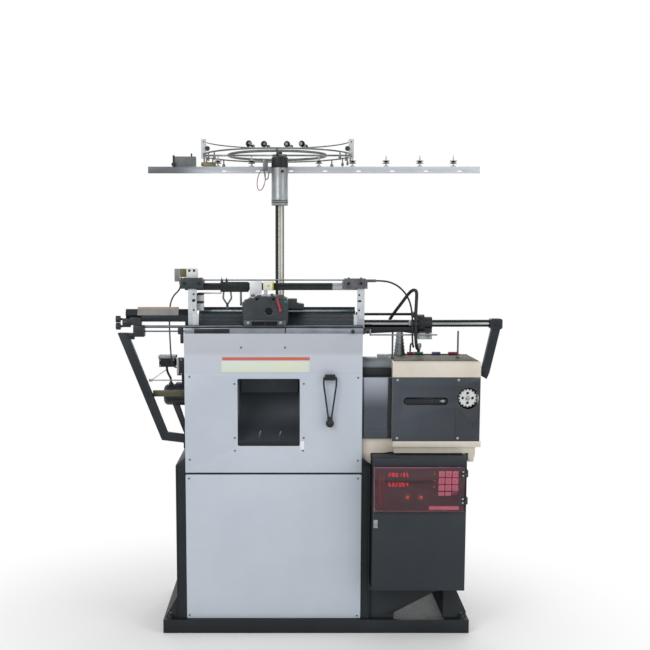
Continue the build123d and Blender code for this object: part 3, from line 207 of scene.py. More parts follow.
def lamp(name, place, aim, size, power):
    """a soft square lamp at a place, turned to what it lights"""
    light = bpy.data.lights.new(name, "AREA")
    light.size = size
    light.energy = power
    holder = bpy.data.objects.new(name, light)
    holder.location = place
    holder.rotation_euler = (Vector(aim) - Vector(place)).to_track_quat("-Z", "Y").to_euler()
    scene.collection.objects.link(holder)


lamp("key_softbox", (-1.8, -2.8, 2.6), (0, 0, 0.8), 1.6, 42)
lamp("fill_softbox", (2.6, -1.8, 1.6), (0, 0, 0.8), 1.8, 20)
lamp("rim_softbox", (0.4, 2.6, 2.8), (0, 0.2, 0.9), 1.8, 30)
scene.view_settings.view_transform = "Standard"

# Plinth: a folded and welded steel tray under the whole machine, with a flared foot at each end and a
# jacking bolt at each front corner. It is sprayed satin black, with a low soft sheen that drifts where
# boots and a trolley have scuffed it.
satin_black = surface("satin_black_enamel_on_plate", "#161A1D", "#20262A", 220, 0.46, 0.1, 5, 0.12,
                      gleam=0.28)
crease = math.radians(34)  # a steeper edge than this is drawn sharp
eased_from = math.radians(40)  # a steeper edge than this on a solid gets its small round
same_spot = 0.00001  # corners of a solid that are nearer than this, in metres, are one


def settle(name, shape, finish, body="frame", turn_faces=True):
    """makes a finished shape a piece that rides on a body"""
    if turn_faces:
        bmesh.ops.recalc_face_normals(shape, faces=shape.faces)
    mesh = bpy.data.meshes.new(name)
    shape.to_mesh(mesh)
    shape.free()
    mesh.materials.append(finish)
    mesh.shade_smooth()
    mesh.set_sharp_from_angle(angle=crease)
    piece = bpy.data.objects.new(name, mesh)
    scene.collection.objects.link(piece)
    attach(piece, body)
    return piece


def eased(node, width, finish, body="frame"):
    """a copy of a solid with its edges eased by a small round, which stands for it"""
    shape = bmesh.new()
    shape.from_mesh(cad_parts[node].data)
    bmesh.ops.remove_doubles(shape, verts=shape.verts, dist=same_spot)
    bmesh.ops.dissolve_limit(shape, angle_limit=math.radians(0.5), verts=shape.verts, edges=shape.edges)
    sharp = [e for e in shape.edges if len(e.link_faces) == 2 and e.calc_face_angle(0) > eased_from]
    bmesh.ops.bevel(shape, geom=sharp, offset=width / 1000, offset_type="OFFSET", segments=2, profile=0.5,
                    affect="EDGES", clamp_overlap=True, material=-1)
    piece = settle(node + "_eased", shape, finish, body, turn_faces=False)
    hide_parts(node)
    return piece


def moved_in(shape, part, matrix):
    """adds a part that was made on its own to a shape, moved by a matrix"""
    bmesh.ops.transform(part, matrix=matrix, verts=part.verts)
    mesh = bpy.data.meshes.new("part")
    part.to_mesh(mesh)
    part.free()
    shape.from_mesh(mesh)
    bpy.data.meshes.remove(mesh)


def turned(shape, outline, foot, along, sides=28):
    """adds a lathe-turned part: pairs of distance and radius in mm, from a foot along a direction"""
    part = bmesh.new()
    chain = [part.verts.new((radius / 1000, 0, distance / 1000)) for distance, radius in outline]
    rims = [part.edges.new(pair) for pair in zip(chain, chain[1:])]
    bmesh.ops.spin(part, geom=chain + rims, cent=(0, 0, 0), axis=(0, 0, 1), dvec=(0, 0, 0),
                   angle=2 * math.pi, steps=sides, use_merge=True, use_duplicate=False)
    bmesh.ops.remove_doubles(part, verts=part.verts, dist=same_spot / 2)
    turn = Vector(along).to_track_quat("Z", "Y").to_matrix().to_4x4()
    moved_in(shape, part, Matrix.Translation(Vector(foot) / 1000) @ turn)


def hexagon(shape, foot, along, across, height, chamfer=0.8):
    """adds a bolt head or nut, with its corners turned off at the top"""
    far = across / 2 / math.cos(math.pi / 6)
    turned(shape, [(0, 0), (0, far), (height - chamfer, far), (height, far - 1.6 * chamfer), (height, 0)],
           foot, along, 6)


# Zinc plate on bolts and nuts: cold-headed steel, plated, so it is pale and half bright.
zinc_plate = surface("zinc_plated_steel", "#A9AEB0", "#84898B", 14, 0.34, 0.1, 3, 0.05, metallic=1.0)
eased("plinth", 1.2, satin_black)
jacks = bmesh.new()
front, back, up = (0, -1, 0), (0, 1, 0), (0, 0, 1)
for x in (-357, 649):
    hexagon(jacks, (x, 20, 47), up, 17, 8)
    turned(jacks, [(0, 6), (9, 6), (10, 5), (10, 0)], (x, 20, 54.5), up, 20)
settle("jacking_bolts", jacks, zinc_plate)

# Pedestal: the welded cabinet that carries the body, folded from plate with a sloped shoulder at the
# right and louvres pressed in its back. It wears the same satin black as the plinth.
eased("pedestal", 1.5, satin_black)

# Rear screws and pulls: the back panel of the body is held by plated button heads, and the cabinet's
# back by larger hexagon screws. Two wire pulls help to lift it off.
def wire(shape, points, radius, tip, tip_radius, sides):
    """adds a wire bent at points in mm: a round bar for each run, with its ends drawn in by a tip"""
    for a, b in zip(points, points[1:]):
        run = Vector(b) - Vector(a)
        outline = [(-tip, tip_radius), (0, radius), (run.length, radius), (run.length + tip, tip_radius)]
        turned(shape, outline, a, run, sides)


rear_heads = bmesh.new()
button_head = [(0, 5.5), (0.8, 5.5), (2.2, 4.4), (2.8, 2.8), (2.8, 2.2), (1.2, 2), (1.2, 0)]
for x in (-205, -68, 68, 205):
    for z in (695, 945):
        turned(rear_heads, button_head, (x, 397, z), back, 18)
for x in (-300, -100, 100, 300):
    for z in (60, 575):
        hexagon(rear_heads, (x, 428, z), back, 13, 5)
for x in (-240, 240):
    pull = [(x - 22, 395, 790), (x - 22, 421, 790), (x + 22, 421, 790), (x + 22, 395, 790)]
    wire(rear_heads, pull, 3.4, 2.6, 2.4, 14)
settle("rear_screws", rear_heads, zinc_plate)

# Front covers: folded sheet in a pale blue-grey stoved enamel, with a very fine orange peel. Three
# sheets are screwed on one above the other, the top one bent forward under the needle bed.
cover_enamel = surface("pale_grey_stoved_enamel", "#BCC5CF", "#B2BBC6", 380, 0.36, 0.05, 4, 0.04, coat=0.15)
for sheet in ("lower_cover", "upper_cover"):
    eased(sheet, 0.8, cover_enamel)


def passing(finish, way, start, end, code):
    """lets a finish pass into another tone between two distances in metres along one direction"""
    shader = finish.node_tree.nodes["Principled BSDF"]
    own = shader.inputs["Base Color"].links[0].from_socket
    place = add(finish, "ShaderNodeTexCoord")
    run = add(finish, "ShaderNodeVectorMath", {"operation": "DOT_PRODUCT"},
              {0: place.outputs["Object"], 1: way})
    share = add(finish, "ShaderNodeMapRange", {"interpolation_type": "SMOOTHSTEP"},
                {"Value": run.outputs["Value"], "From Min": start, "From Max": end})
    both = add(finish, "ShaderNodeMix", {"data_type": "RGBA"},
               {0: share.outputs["Result"], 6: own, 7: linear(code)})
    finish.node_tree.links.new(both.outputs[2], shader.inputs["Base Color"])


# The beam cover's top, which leans forward and faces down, is darker by painted shade.
beam_enamel = surface("violet_grey_stoved_enamel_painted_shade_top", "#B4B8C1", "#ABAFB9", 380, 0.4, 0.05, 4, 0.04, coat=0.1)
passing(beam_enamel, up, 0.972, 0.955, "#BCC2CC")
eased("beam_cover", 0.8, beam_enamel)

# Cover screws: zinc-plated button heads with a socket, drawn tight on the enamel. Each stands a little
# proud of its sheet, so it throws a small ring of shade.
heads = bmesh.new()
screw_places = [(-287, 540), (287, 540), (-290, 60), (287, 58), (-282, 888), (285, 885), (-284, 605),
                (286, 602), (-131, 864), (102, 864), (-131, 680), (102, 680), (-131, 636), (100, 636)]
button = [(0, 3.5), (0.5, 3.5), (1.2, 2.8), (1.6, 1.7), (1.6, 1.4), (0.7, 1.3), (0.7, 0)]
for x, z in screw_places:
    turned(heads, button, (x, 0, z), front, 16)
for x in (-108, 39):
    turned(heads, button, (x, -2.3, 987), front, 16)
dull_zinc = surface("dulled_zinc_plate", "#70757A", "#585C60", 10, 0.42, 0.1, 3, 0.05, metallic=0.8)
settle("cover_screw_heads", heads, dull_zinc)
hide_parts("cover_screws")

# Strip plate: a thin printed aluminium strip riveted under the bend, left plain: an orange-red band over
# a pale yellow-green field that has faded towards its right end.
def plate(shape, low, high, ease=0.0, steps=2):
    """adds a plate between two corners in mm, with its edges eased"""
    low, high = Vector(low) / 1000, Vector(high) / 1000
    size = high - low
    spot = Matrix.Translation((low + high) / 2) @ Matrix.Diagonal((size.x, size.y, size.z, 1))
    made = bmesh.ops.create_cube(shape, size=1, matrix=spot)["verts"]
    if ease:
        rims = list({e for v in made for e in v.link_edges})
        bmesh.ops.bevel(shape, geom=rims, offset=ease / 1000, offset_type="OFFSET", segments=steps,
                        profile=0.5, affect="EDGES", clamp_overlap=True, material=-1)


def plates(name, finish, slot_name, *boxes, body="frame"):
    """makes a piece of plates alone, each given as plate() takes it"""
    shape = bmesh.new()
    for box in boxes:
        plate(shape, *box)
    return settle(name, shape, finish, body)


printed_field = surface("faded_printed_field", "#D5D9C2", "#CBD6CE", 130, 0.4, 0.06, 3, 0.02)
plates("strip_plate_field", printed_field, "cover_paint", ((-174, -0.5, 904), (121, 0, 941), 0.2))
printed_band = surface("orange_red_printed_band", "#C8603F", "#BD5F62", 160, 0.38, 0.06, 3, 0.02)
plates("strip_plate_band", printed_band, "red_plastic", ((-172, -0.7, 944), (122, 0, 954), 0.2))

# Glove window: behind the opening a worn grey chute slopes down from a rubber apron to a folded black lip,
# where finished gloves slide out. Two spring wires keep them from catching, and a small pale tag hangs by
# the lip.
# The chute darkens towards its foot: painted shade deep in the window.
chute_enamel = surface("grey_worn_chute_enamel_painted_shade_low", "#7C828A", "#71777F", 240, 0.45, 0.06, 12, 0.03, coat=0.1)
passing(chute_enamel, up, 0.79, 0.69, "#343940")
eased("glove_chute", 0.8, chute_enamel)
dusty_rubber = surface("dusty_rubber_apron", "#6E747B", "#62686F", 120, 0.7, 0.08, 5, 0.1)
plates("chute_apron", dusty_rubber, "roller_rubber", ((-118.6, 245.4, 803), (86.6, 248.4, 888), 0.6))
plates("chute_lip", satin_black, "black_paint", ((-120.5, 3.2, 652.5), (88.5, 5.2, 668), 0.6))
springs = bmesh.new()
for x in (-50, 19):
    for a, b in (((x, 20, 672), (x + 2, 15, 688)), ((x + 2, 15, 688), (x + 7, 18, 701))):
        run = Vector(b) - Vector(a)
        turned(springs, [(0, 0), (0, 2.2), (run.length, 2.2), (run.length + 0.6, 0)], a, run, 10)
settle("chute_springs", springs, dull_zinc)
paper_tag = surface("white_paper_tag", "#E6EAEE", "#DDE1E6", 20, 0.7, 0.05, 2, 0.02)
plates("window_tag", paper_tag, "white_plastic", ((91, -0.6, 640), (104, 0, 668), 0.25))

# Start handle: a moulded black block on the cover carries a loop of black-dipped wire that hangs from a
# pin, with a ball at its lower end. It is lifted towards the worker to start the machine.
dipped_black = surface("vinyl_dipped_black", "#15191E", "#1D2227", 30, 0.38, 0.07, 3, 0.05, gleam=0.35)
moulded_black = surface("moulded_black_abs", "#14171A", "#1C2023", 40, 0.45, 0.06, 2.5, 0.08, ior=1.54,
                        gleam=0.3)
eased("handle_block", 0.8, moulded_black)
eased("wire_handle", 0.3, dipped_black, "start_handle")

# Knitting body: the welded box between pedestal and beds, open at the throat and at the window, in the
# machine's black. Its rear panel is screwed on.
eased("knitting_body", 1.2, satin_black)

# Take-down rollers: steel shafts in rubber-covered barrels that pull the glove down from the throat. The
# rubber is ground, so it is dull, with fine rings round it.
ground_rubber = surface("ground_roller_rubber", "#26282A", "#323537", 30, 0.7, 0.08, 2, 0.25, ior=1.52,
                        stretch=(1, 0.1, 0.1))
eased("drive_roller", 0.8, ground_rubber, "takedown_a")
eased("press_roller", 0.8, ground_rubber, "takedown_b")

# Bed frame: a planed iron beam, enamelled black, that is bolted on the body and carries both beds. Its
# enamel has dulled with oil.
beam_black = surface("black_enamel_on_planed_iron", "#1A2022", "#23292B", 90, 0.4, 0.09, 4, 0.08,
                     gleam=0.35)
eased("bed_frame", 1, beam_black)

# Needle beds: two planed and blackened steel plates that lean together at the throat, milled with one
# trick for each needle. A bright ground comb runs along the front verge, a black bar along the rear one.
blackened_steel = surface("blackened_ground_steel", "#14232B", "#1B2A33", 90, 0.6, 0.05, 2, 0.02,
                          gleam=0.25)
eased("front_bed", 0.3, blackened_steel)
eased("rear_bed", 0.3, blackened_steel)

# Needles: drawn steel latch needles, one to a trick, held down by a flat spring band. They are dark with
# oil along the slope and end in a small hook at the throat.
needle_steel = surface("oiled_needle_steel", "#12212A", "#101D25", 60, 0.6, 0.04, 1.5, 0.01, metallic=0.0)
pitch, count, bed_middle = 3.63, 142, 12
first = bed_middle - pitch * (count - 1) / 2
bed_run, bed_rise = 88, 42
lean = Matrix.Rotation(math.atan2(bed_rise, bed_run), 4, "X")
front_foot, rear_foot = (0, 0.016, 1.058), (0, 0.224, 1.058)
front_slope = Matrix.Translation(front_foot) @ lean
rear_slope = Matrix.Translation(rear_foot) @ Matrix.Rotation(math.pi, 4, "Z") @ lean
for slope, name in ((front_slope, "front_needles"), (rear_slope, "rear_needles")):
    row = bmesh.new()
    plate(row, (-0.55, 6, -2.6), (0.55, 97, -0.5))
    plate(row, (-0.5, 30, -0.6), (0.5, 37, 0.2))
    plate(row, (-0.45, 97, -2.2), (0.45, 103, -1.0))
    plate(row, (-0.45, 101.5, -1.2), (0.45, 103, 1.6))
    bmesh.ops.transform(row, matrix=Matrix.Translation((first / 1000, 0, 0)) @ slope, verts=row.verts)
    one = row.verts[:] + row.edges[:] + row.faces[:]
    for i in range(1, count):
        copy = bmesh.ops.duplicate(row, geom=one)["geom"]
        bmesh.ops.translate(row, vec=(pitch * i / 1000, 0, 0),
                            verts=[v for v in copy if isinstance(v, bmesh.types.BMVert)])
    settle(name, row, needle_steel)
bands = bmesh.new()
for slope in (front_slope, rear_slope):
    for near, far in ((14, 20), (58, 66)):
        band = bmesh.new()
        plate(band, (-266, near, 0.02), (266, far, 0.4), 0.15, 1)
        moved_in(bands, band, Matrix.Translation((bed_middle / 1000, 0, 0)) @ slope)
settle("needle_spring_bands", bands, blackened_steel)
comb = bmesh.new()
plate(comb, (-256, 105.8, 1099.8), (280, 110.2, 1106.7), 0.5)
for i in range(count - 1):
    x = first + pitch * (i + 0.5)
    plate(comb, (x - 0.5, 110, 1102.2), (x + 0.5, 115.4, 1103.6), 0.2, 1)
comb_steel = surface("ground_comb_steel", "#8E9598", "#747B7E", 30, 0.33, 0.08, 1.5, 0.03, metallic=0.9,
                     gleam=0.4, stretch=(0.08, 1, 1))
settle("verge_comb", comb, comb_steel)

# Front rail and rods: a ground steel rail in front of the bed frame, and long rods that stop the carriage
# and carry its trips. Ground along their length, so their shine is drawn out in streaks.
ground_steel = surface("ground_rail_steel", "#8A8F98", "#7A8089", 50, 0.38, 0.07, 1.5, 0.03, metallic=1.0,
                       stretch=(0.06, 1, 1))
eased("front_rail", 0.6, ground_steel)
rod_steel = surface("oiled_ground_rod_steel", "#5A5F64", "#4C5156", 50, 0.36, 0.08, 1.5, 0.03, metallic=0.9,
                    gleam=0.4, stretch=(0.06, 1, 1))
eased("front_rods", 0.4, rod_steel)
eased("feeder_rod", 0.3, ground_steel)
insert = bmesh.new()
plate(insert, (-264, -7.2, 1034.6), (-146, -5.6, 1049.4), 0.4)
plate(insert, (38.5, -6.3, 1034.5), (41.5, -5.6, 1051), 0.1)
for x in (265, 314):
    turned(insert, [(0, 7.4), (9, 7.6), (11.6, 6.8), (12.4, 4.6), (15, 4.4), (15.4, 3.6), (15.4, 0)],
           (x, -6.2, 1041), front, 24)
plate(insert, (300.4, -6.6, 1033.6), (322.5, 8.4, 1050.6), 1)
plate(insert, (-319, -3.6, 1031), (-300, 5.6, 1052), 1.5)
plate(insert, (-311, -3.6, 1001), (-300.4, 5.6, 1032), 1.5)
settle("rail_insert", insert, moulded_black)
plates("rail_left_end", ground_steel, "silver_steel", ((-297, -5.8, 1034.2), (-245.6, 8, 1051.6), 0.8))

# Uprights: two plates of drilled steel, plated white, that hold the feeder rail over the beds.
# The left one carries a small tension spool with black bands and a short yellowed bar.
white_plate = surface("matt_white_zinc_plate", "#C3C8CD", "#B2B7BC", 30, 0.46, 0.07, 3, 0.08, metallic=0.1)
eased("upright_left", 0.6, white_plate)
eased("upright_right", 0.6, white_plate)
feet = bmesh.new()
for x, z in ((-266, 1164), (-266, 1111), (287, 1161), (287, 1110)):
    turned(feet, [(0, 3.3), (0.4, 3.3), (0.4, 1.8), (-2, 1.6), (-2, 0)], (x, 16, z), front, 18)
plate(feet, (-272, 17, 1140), (-260, 20, 1146), 0.6)
plate(feet, (282, 17, 1138), (294, 20, 1144), 0.6)
settle("upright_bolts", feet, moulded_black)
heel = bmesh.new()
plate(heel, (269, 8.4, 1050), (281.4, 14.4, 1096), 0.5)
for z in (1056, 1064, 1072, 1080):
    plate(heel, (270.5, 7.8, z), (303.5, 14.2, z + 1.6), 0.2, 1)
settle("upright_right_heel", heel, white_plate)
plates("tension_spool", white_plate, "white_steel",
       ((-256.4, 43, 1141), (-236.6, 74.6, 1159), 1.2), ((-256.4, 43, 1109), (-236.6, 74.6, 1131), 1.2))
plates("spool_bands", moulded_black, "black_plastic",
       ((-257.6, 42, 1160), (-235.4, 75, 1166.6), 1), ((-257.6, 42, 1132.4), (-235.4, 75, 1139.8), 1))
yarn_bar = bmesh.new()
plate(yarn_bar, (-256, 68, 1163), (-176, 72, 1168), 0.8)
for x in (-214, -184):
    turned(yarn_bar, [(0, 2.6), (1.4, 2.6), (2, 2), (2, 0)], (x, 68, 1165.5), front, 16)
yarn_bar_cream = surface("yellowed_white_enamel", "#D9D6C6", "#CCC8B4", 30, 0.45, 0.07, 3, 0.05)
settle("tension_bar", yarn_bar, yarn_bar_cream)

# Feeder rail and its clamps: a black bar on which the yarn carrier slides, held at each end by a dark
# cast clamp with a socket screw.
rail_black = surface("oiled_black_oxide_steel", "#1B1F21", "#262B2D", 45, 0.38, 0.09, 2, 0.04, metallic=0.3,
                     gleam=0.35, stretch=(0.1, 1, 1))
# The rail is drawn brighter to the right of x = 200 mm.
rail_bright = rail_black.copy()
rail_bright.name = "rail_bright_at_its_right_end"
passing(rail_bright, (1, 0, 0), 0.196, 0.204, "#A9ADB0")
eased("feeder_rail", 0.8, rail_bright)
casting_grey = surface("dark_grey_enamel_on_iron", "#282E32", "#32393D", 40, 0.48, 0.09, 3, 0.16,
                       gleam=0.35)
clamp_grey = surface("worn_grey_enamel_on_iron", "#5C5C60", "#3E4143", 18, 0.46, 0.1, 3, 0.2, gleam=0.4)
eased("rail_clamp_left", 1, casting_grey)
eased("rail_clamp_right", 1, clamp_grey)


def socket_head(radius, straight, height, rim, socket, floor):
    """the outline of a socket screw's head: its side, its eased rim and its socket down to a floor"""
    return [(0, radius), (straight, radius), (height, rim), (height, socket), (floor, socket - 0.2),
            (floor, 0)]


clamp_screws = bmesh.new()
for x in (-296, -247, 250, 292):
    turned(clamp_screws, socket_head(5, 4, 4.6, 4.4, 2.6, 1.6), (x, 8, 1200), front, 18)
    turned(clamp_screws, [(0, 4), (3, 4), (3.5, 3.4), (3.5, 0)], (x + 3, 40, 1215.5), up, 16)
settle("clamp_screws", clamp_screws, moulded_black)

# Yarn sensor: a white moulded block on the left clamp, with two dark ceramic eyes, plugged into an
# olive-yellow socket at its side.
white_nylon = surface("moulded_white_nylon", "#D8DBDA", "#CBCFCF", 30, 0.45, 0.06, 2, 0.08, ior=1.53)
eased("sensor_block", 0.6, white_nylon)
eyes = bmesh.new()
for x in (-281, -265):
    turned(eyes, [(0, 2.4), (0, 4.4), (1.2, 4.4), (1.8, 3.8), (1.8, 2.8), (0.6, 2.4)],
           (x, 31, 1242), front, 20)
    turned(eyes, [(0, 2.5), (0.4, 2.5), (0.4, 0)], (x, 31.4, 1242), front, 16)
dark_ceramic = surface("glazed_dark_ceramic", "#14181C", "#1D2226", 10, 0.16, 0.04, 2, 0.02)
settle("sensor_eyes", eyes, dark_ceramic)
socket = bmesh.new()
plate(socket, (-314.6, 33.4, 1220.4), (-291.4, 60.4, 1248.4), 1.2)
for z in (1224, 1230, 1236, 1242):
    plate(socket, (-313, 32.8, z), (-293, 33.8, z + 2.6), 0.3)
olive_nylon = surface("moulded_olive_nylon", "#746736", "#5F5530", 25, 0.5, 0.07, 2, 0.1, ior=1.53)
settle("sensor_socket", socket, olive_nylon)
grey_collar = surface("moulded_grey_nylon", "#7C7E80", "#6E7072", 20, 0.45, 0.06, 2, 0.08, ior=1.53)
collar = bmesh.new()
plate(collar, (-331.5, 33.2, 1205.6), (-315, 60.6, 1248.4), 1.5)
plate(collar, (-316, 33.2, 1205.6), (-309.2, 60.6, 1219), 1.5)
turned(collar, [(0, 4.4), (9, 4.4), (10, 3.6), (14, 3.2), (14, 2.2)], (-313, 47, 1206.4), (0, 0, -1), 20)
settle("sensor_collar", collar, grey_collar)

# Yarn carrier: a block on the feeder rail with a wishbone of worn wire below it, whose eye lays the
# yarn in the needles, and two small horns above that the carriage pushes.
eased("yarn_carrier", 0.6, rail_black, "carrier")
worn_wire = surface("worn_guide_wire", "#6E7275", "#5B5F62", 20, 0.36, 0.08, 2, 0.04, metallic=0.8,
                    gleam=0.4)
eyelet = bmesh.new()
turned(eyelet, [(0, 1.4), (0, 4.2), (1.2, 5), (3, 5.2), (4.8, 5), (6, 4.2), (6, 1.4)],
       (-156, 56, 1113), up, 24)
turned(eyelet, [(0, 0), (0, 3.6), (2, 3.6), (2.6, 3), (2.6, 0)], (-110, 56, 1126), up, 18)
for side in (-1, 1):
    wire(eyelet, [(-156 + side * 12, 56, 1171), (-156 + side * 14, 56, 1149), (-156, 56, 1127)],
         3, 0.6, 2.2, 16)
turned(eyelet, [(0, 3.6), (40, 3.6)], (-110, 56, 1130), up, 16)
settle("carrier_eyelet", eyelet, worn_wire, "carrier")
shoe_screws = bmesh.new()
for x in (-171, -141, -119, -95):
    turned(shoe_screws, socket_head(3.6, 2.2, 2.8, 3, 1.8, 1), (x, 52, 1187), front, 18)
settle("carrier_screws", shoe_screws, moulded_black, "carrier")

# Carriage: a stepped iron casting that rides over both beds and drives the needles with cams beneath. It
# is enamelled dark grey, with a planed flange, a round window and plated bolts along its foot.
eased("carriage_casting", 1, casting_grey, "carriage")
fittings = bmesh.new()
for x in (-84, 24):
    turned(fittings, [(0, 5), (1, 6.4), (2, 6.4)], (x, -8, 1070.2), front, 24)
    hexagon(fittings, (x, -10, 1070.2), front, 9.4, 4.4, 0.6)
for x, y in ((-90, 40), (-90, 190), (36, 40), (36, 190), (-30, 60), (-30, 180)):
    top = 1156 if -60 < x < 8 else (1137 if x < -80 else 1146)
    turned(fittings, socket_head(6, 4, 4.8, 5.2, 3, 1.8), (x, y, top), up, 20)
settle("carriage_bolts", fittings, zinc_plate, "carriage")
foot = bmesh.new()
plate(foot, (-98.2, -8.8, 1060.4), (42.2, -6.8, 1077.6), 0.6)
# This thin strip along the top of the flange is a painted highlight on its edge.
plate(foot, (-98.2, -9.4, 1075.6), (42.2, -8, 1077.8), 0.4)
for x in (-55, 0):
    turned(foot, [(0, 10), (4.6, 10), (6.4, 8.4), (6.4, 0)], (x, 17.6, 1148), front, 28)
for i in range(9):
    turn = math.radians(200 + 17.5 * i)
    x, z = -13 + 15.6 * math.cos(turn), 1107 + 15.6 * math.sin(turn)
    turned(foot, [(0, 3), (2.4, 2.4), (2.4, 0)], (x, 5.8, z), front, 14)
planed_iron_and_edge_highlight = surface("worn_planed_iron_and_painted_edge_highlight", "#555B60", "#464C51", 30, 0.42, 0.08, 2.5, 0.08, metallic=0.3,
                    gleam=0.4)
settle("carriage_foot", foot, planed_iron_and_edge_highlight, "carriage")
# The black plates in the flange slots and the black disc in the round window are painted shade in those
# openings.
black_and_slot_shade = surface("dull_black_and_painted_slot_shade", "#0C1013", "#12171A", 20, 0.65, 0.06, 2, 0.05, gleam=0.15)
slots = bmesh.new()
plate(slots, (-72.4, -9.4, 1061.4), (-27.6, -8, 1074.6), 0.4)
plate(slots, (-26.4, -9.4, 1061.4), (13.4, -8, 1074.6), 0.4)
for x in (-55, 0):
    turned(slots, [(0, 5.6), (5, 5.6), (6.2, 4.4), (6.2, 0)], (x, 11.6, 1148), front, 24)
turned(slots, [(0, 10.6), (0.5, 10.6), (0.5, 0)], (-14, 6.2, 1107), front, 28)
settle("carriage_slots", slots, black_and_slot_shade, "carriage")
crown = bmesh.new()
plate(crown, (-74, 14, 1155.4), (-62, 34, 1163), 2)
plate(crown, (-54, 10, 1155.4), (-40, 30, 1161), 1.5)
plate(crown, (4, 12, 1145.6), (44, 34, 1154), 2)
plate(crown, (10, 16, 1153.6), (36, 32, 1162), 2)
turned(crown, [(0, 7), (8, 7), (9.4, 5.6), (9.4, 0)], (-90, 30, 1137), up, 24)
turned(crown, [(0, 5), (9, 5), (10.4, 3.6), (10.4, 0)], (-4, 20, 1155.6), up, 24)
settle("carriage_crown", crown, clamp_grey, "carriage")
hood = bmesh.new()
turned(hood, [(0, 12), (0.6, 13.6), (-0.6, 14.4), (-2, 14.4)], (-15, 5.6, 1107), front, 32)
settle("carriage_window_rim", hood, casting_grey, "carriage")
green_mark = surface("faded_green_enamel", "#2A5244", "#355C4E", 15, 0.5, 0.06, 2, 0.05)
plates("carriage_stop", green_mark, "grey_plastic",
       ((36, 4.9, 1135), (49, 6.1, 1144), 0.3), body="carriage")

# Carrier driver: a white plated angle on the carriage that pushes the yarn carrier, beside a cream
# solenoid with its brass-yellow core plate and one screw.
driver_plate = surface("bright_white_zinc_plate", "#DADDDF", "#CDD0D3", 30, 0.4, 0.07, 3, 0.06,
                       metallic=0.1)
eased("carrier_driver", 0.5, driver_plate, "carriage")
cream_nylon = surface("moulded_cream_nylon", "#E2E1CB", "#D6D5BE", 20, 0.45, 0.06, 2, 0.06, ior=1.53)
plates("solenoid_body", cream_nylon, "cream_paint",
       ((-34.3, 35.4, 1176), (-3, 49.6, 1206.3), 1.2), body="carriage")
core_brass = surface("plain_turned_brass", "#A8A044", "#8F8A3C", 20, 0.35, 0.08, 2, 0.04, metallic=0.7)
plates("solenoid_core", core_brass, "brass",
       ((-3.4, 35.6, 1175.6), (1.3, 49.4, 1206), 0.6), body="carriage")
coil_screw = bmesh.new()
turned(coil_screw, [(0, 3.2), (1.4, 3.2), (1.9, 2.5), (1.9, 1.3), (0.8, 1.2), (0.8, 0)], (-16, 35.6, 1191),
       front, 16)
settle("solenoid_screw", coil_screw, zinc_plate, "carriage")

# Stitch lever: a small lever on the carriage's face that sets the stitch length. It is moulded in red
# nylon with a thicker grip, and turns on a pin at its foot.
red_nylon = surface("moulded_red_nylon", "#9A1B34", "#A8263C", 15, 0.34, 0.05, 2, 0.05, ior=1.53)
eased("stitch_lever", 0.4, red_nylon, "lever")
grip = bmesh.new()
turned(grip, [(0, 1.2), (1, 1.8), (36, 3.6), (39, 3.2), (40.5, 1.6), (40.5, 0)], (22, 2.2, 1112),
       (-10, 0, 38), 20)
settle("stitch_lever_grip", grip, red_nylon, "lever")

# Left tray and end clamp: a folded channel, bright on its sloped top, that carries the end of the rods,
# closed by a cast clamp with two thumb knobs.
eased("left_tray", 0.8, satin_black)
tray_top = bmesh.new()
sheet_along, sheet_up, sheet_through = (0.138, 0, 0), (0, 0.0190, 0.0272), (0, 0.0012, -0.0008)
sheet_place = Matrix((sheet_along, sheet_up, sheet_through)).transposed().to_4x4()
sheet_place.translation = (-0.3885, 0.0373, 1.1060)
bmesh.ops.create_cube(tray_top, size=1, matrix=sheet_place)
tray_sheet = surface("mill_finish_tray_sheet", "#8C8F8C", "#7B7D79", 45, 0.4, 0.08, 2, 0.04, metallic=0.5,
                     gleam=0.4, stretch=(0.1, 1, 1))
settle("tray_slope", tray_top, tray_sheet)
passing(tray_sheet, up, 1.1125, 1.1150, "#A58C79")
clamp_black = surface("oiled_black_enamel_on_iron", "#1A1F22", "#242A2E", 30, 0.42, 0.09, 3, 0.14,
                      gleam=0.35)
eased("end_clamp_left", 0.8, clamp_black)

# Left arm and bar: a bent flat arm from the end clamp down to the body, with an olive-painted bar that
# steadies it in front of the motor.
arm_black = surface("black_enamel_on_flat_bar", "#1B2024", "#242A2E", 70, 0.42, 0.09, 4, 0.1, gleam=0.3)
eased("left_arm", 1.5, arm_black)
olive_enamel = surface("olive_enamel_on_bar", "#4B4A2E", "#3C3B2A", 40, 0.42, 0.08, 3, 0.1, coat=0.1)
eased("arm_bar", 1, olive_enamel)
arm_bolts = bmesh.new()
hexagon(arm_bolts, (-430, 18, 826), front, 13, 6)
hexagon(arm_bolts, (-306, 18, 666), front, 10, 5)
settle("arm_bolts", arm_bolts, moulded_black)

# Motor: a small geared motor with a domed fan cowl, cast ribs and a gland for its cable, in dark slate
# enamel that has dulled with oil.
motor_enamel = surface("oily_slate_enamel", "#2D323A", "#22262D", 35, 0.38, 0.1, 3, 0.12, gleam=0.4)
eased("motor", 0.8, motor_enamel)
ribs = bmesh.new()
for i in range(16):
    fin = bmesh.new()
    plate(fin, (-350, -1.1, 35), (-306, 1.1, 37.4), 0.4, 1)
    spot = Matrix.Translation((0, 0.13, 0.811)) @ Matrix.Rotation(2 * math.pi * i / 16, 4, "X")
    moved_in(ribs, fin, spot)
settle("motor_ribs", ribs, motor_enamel)

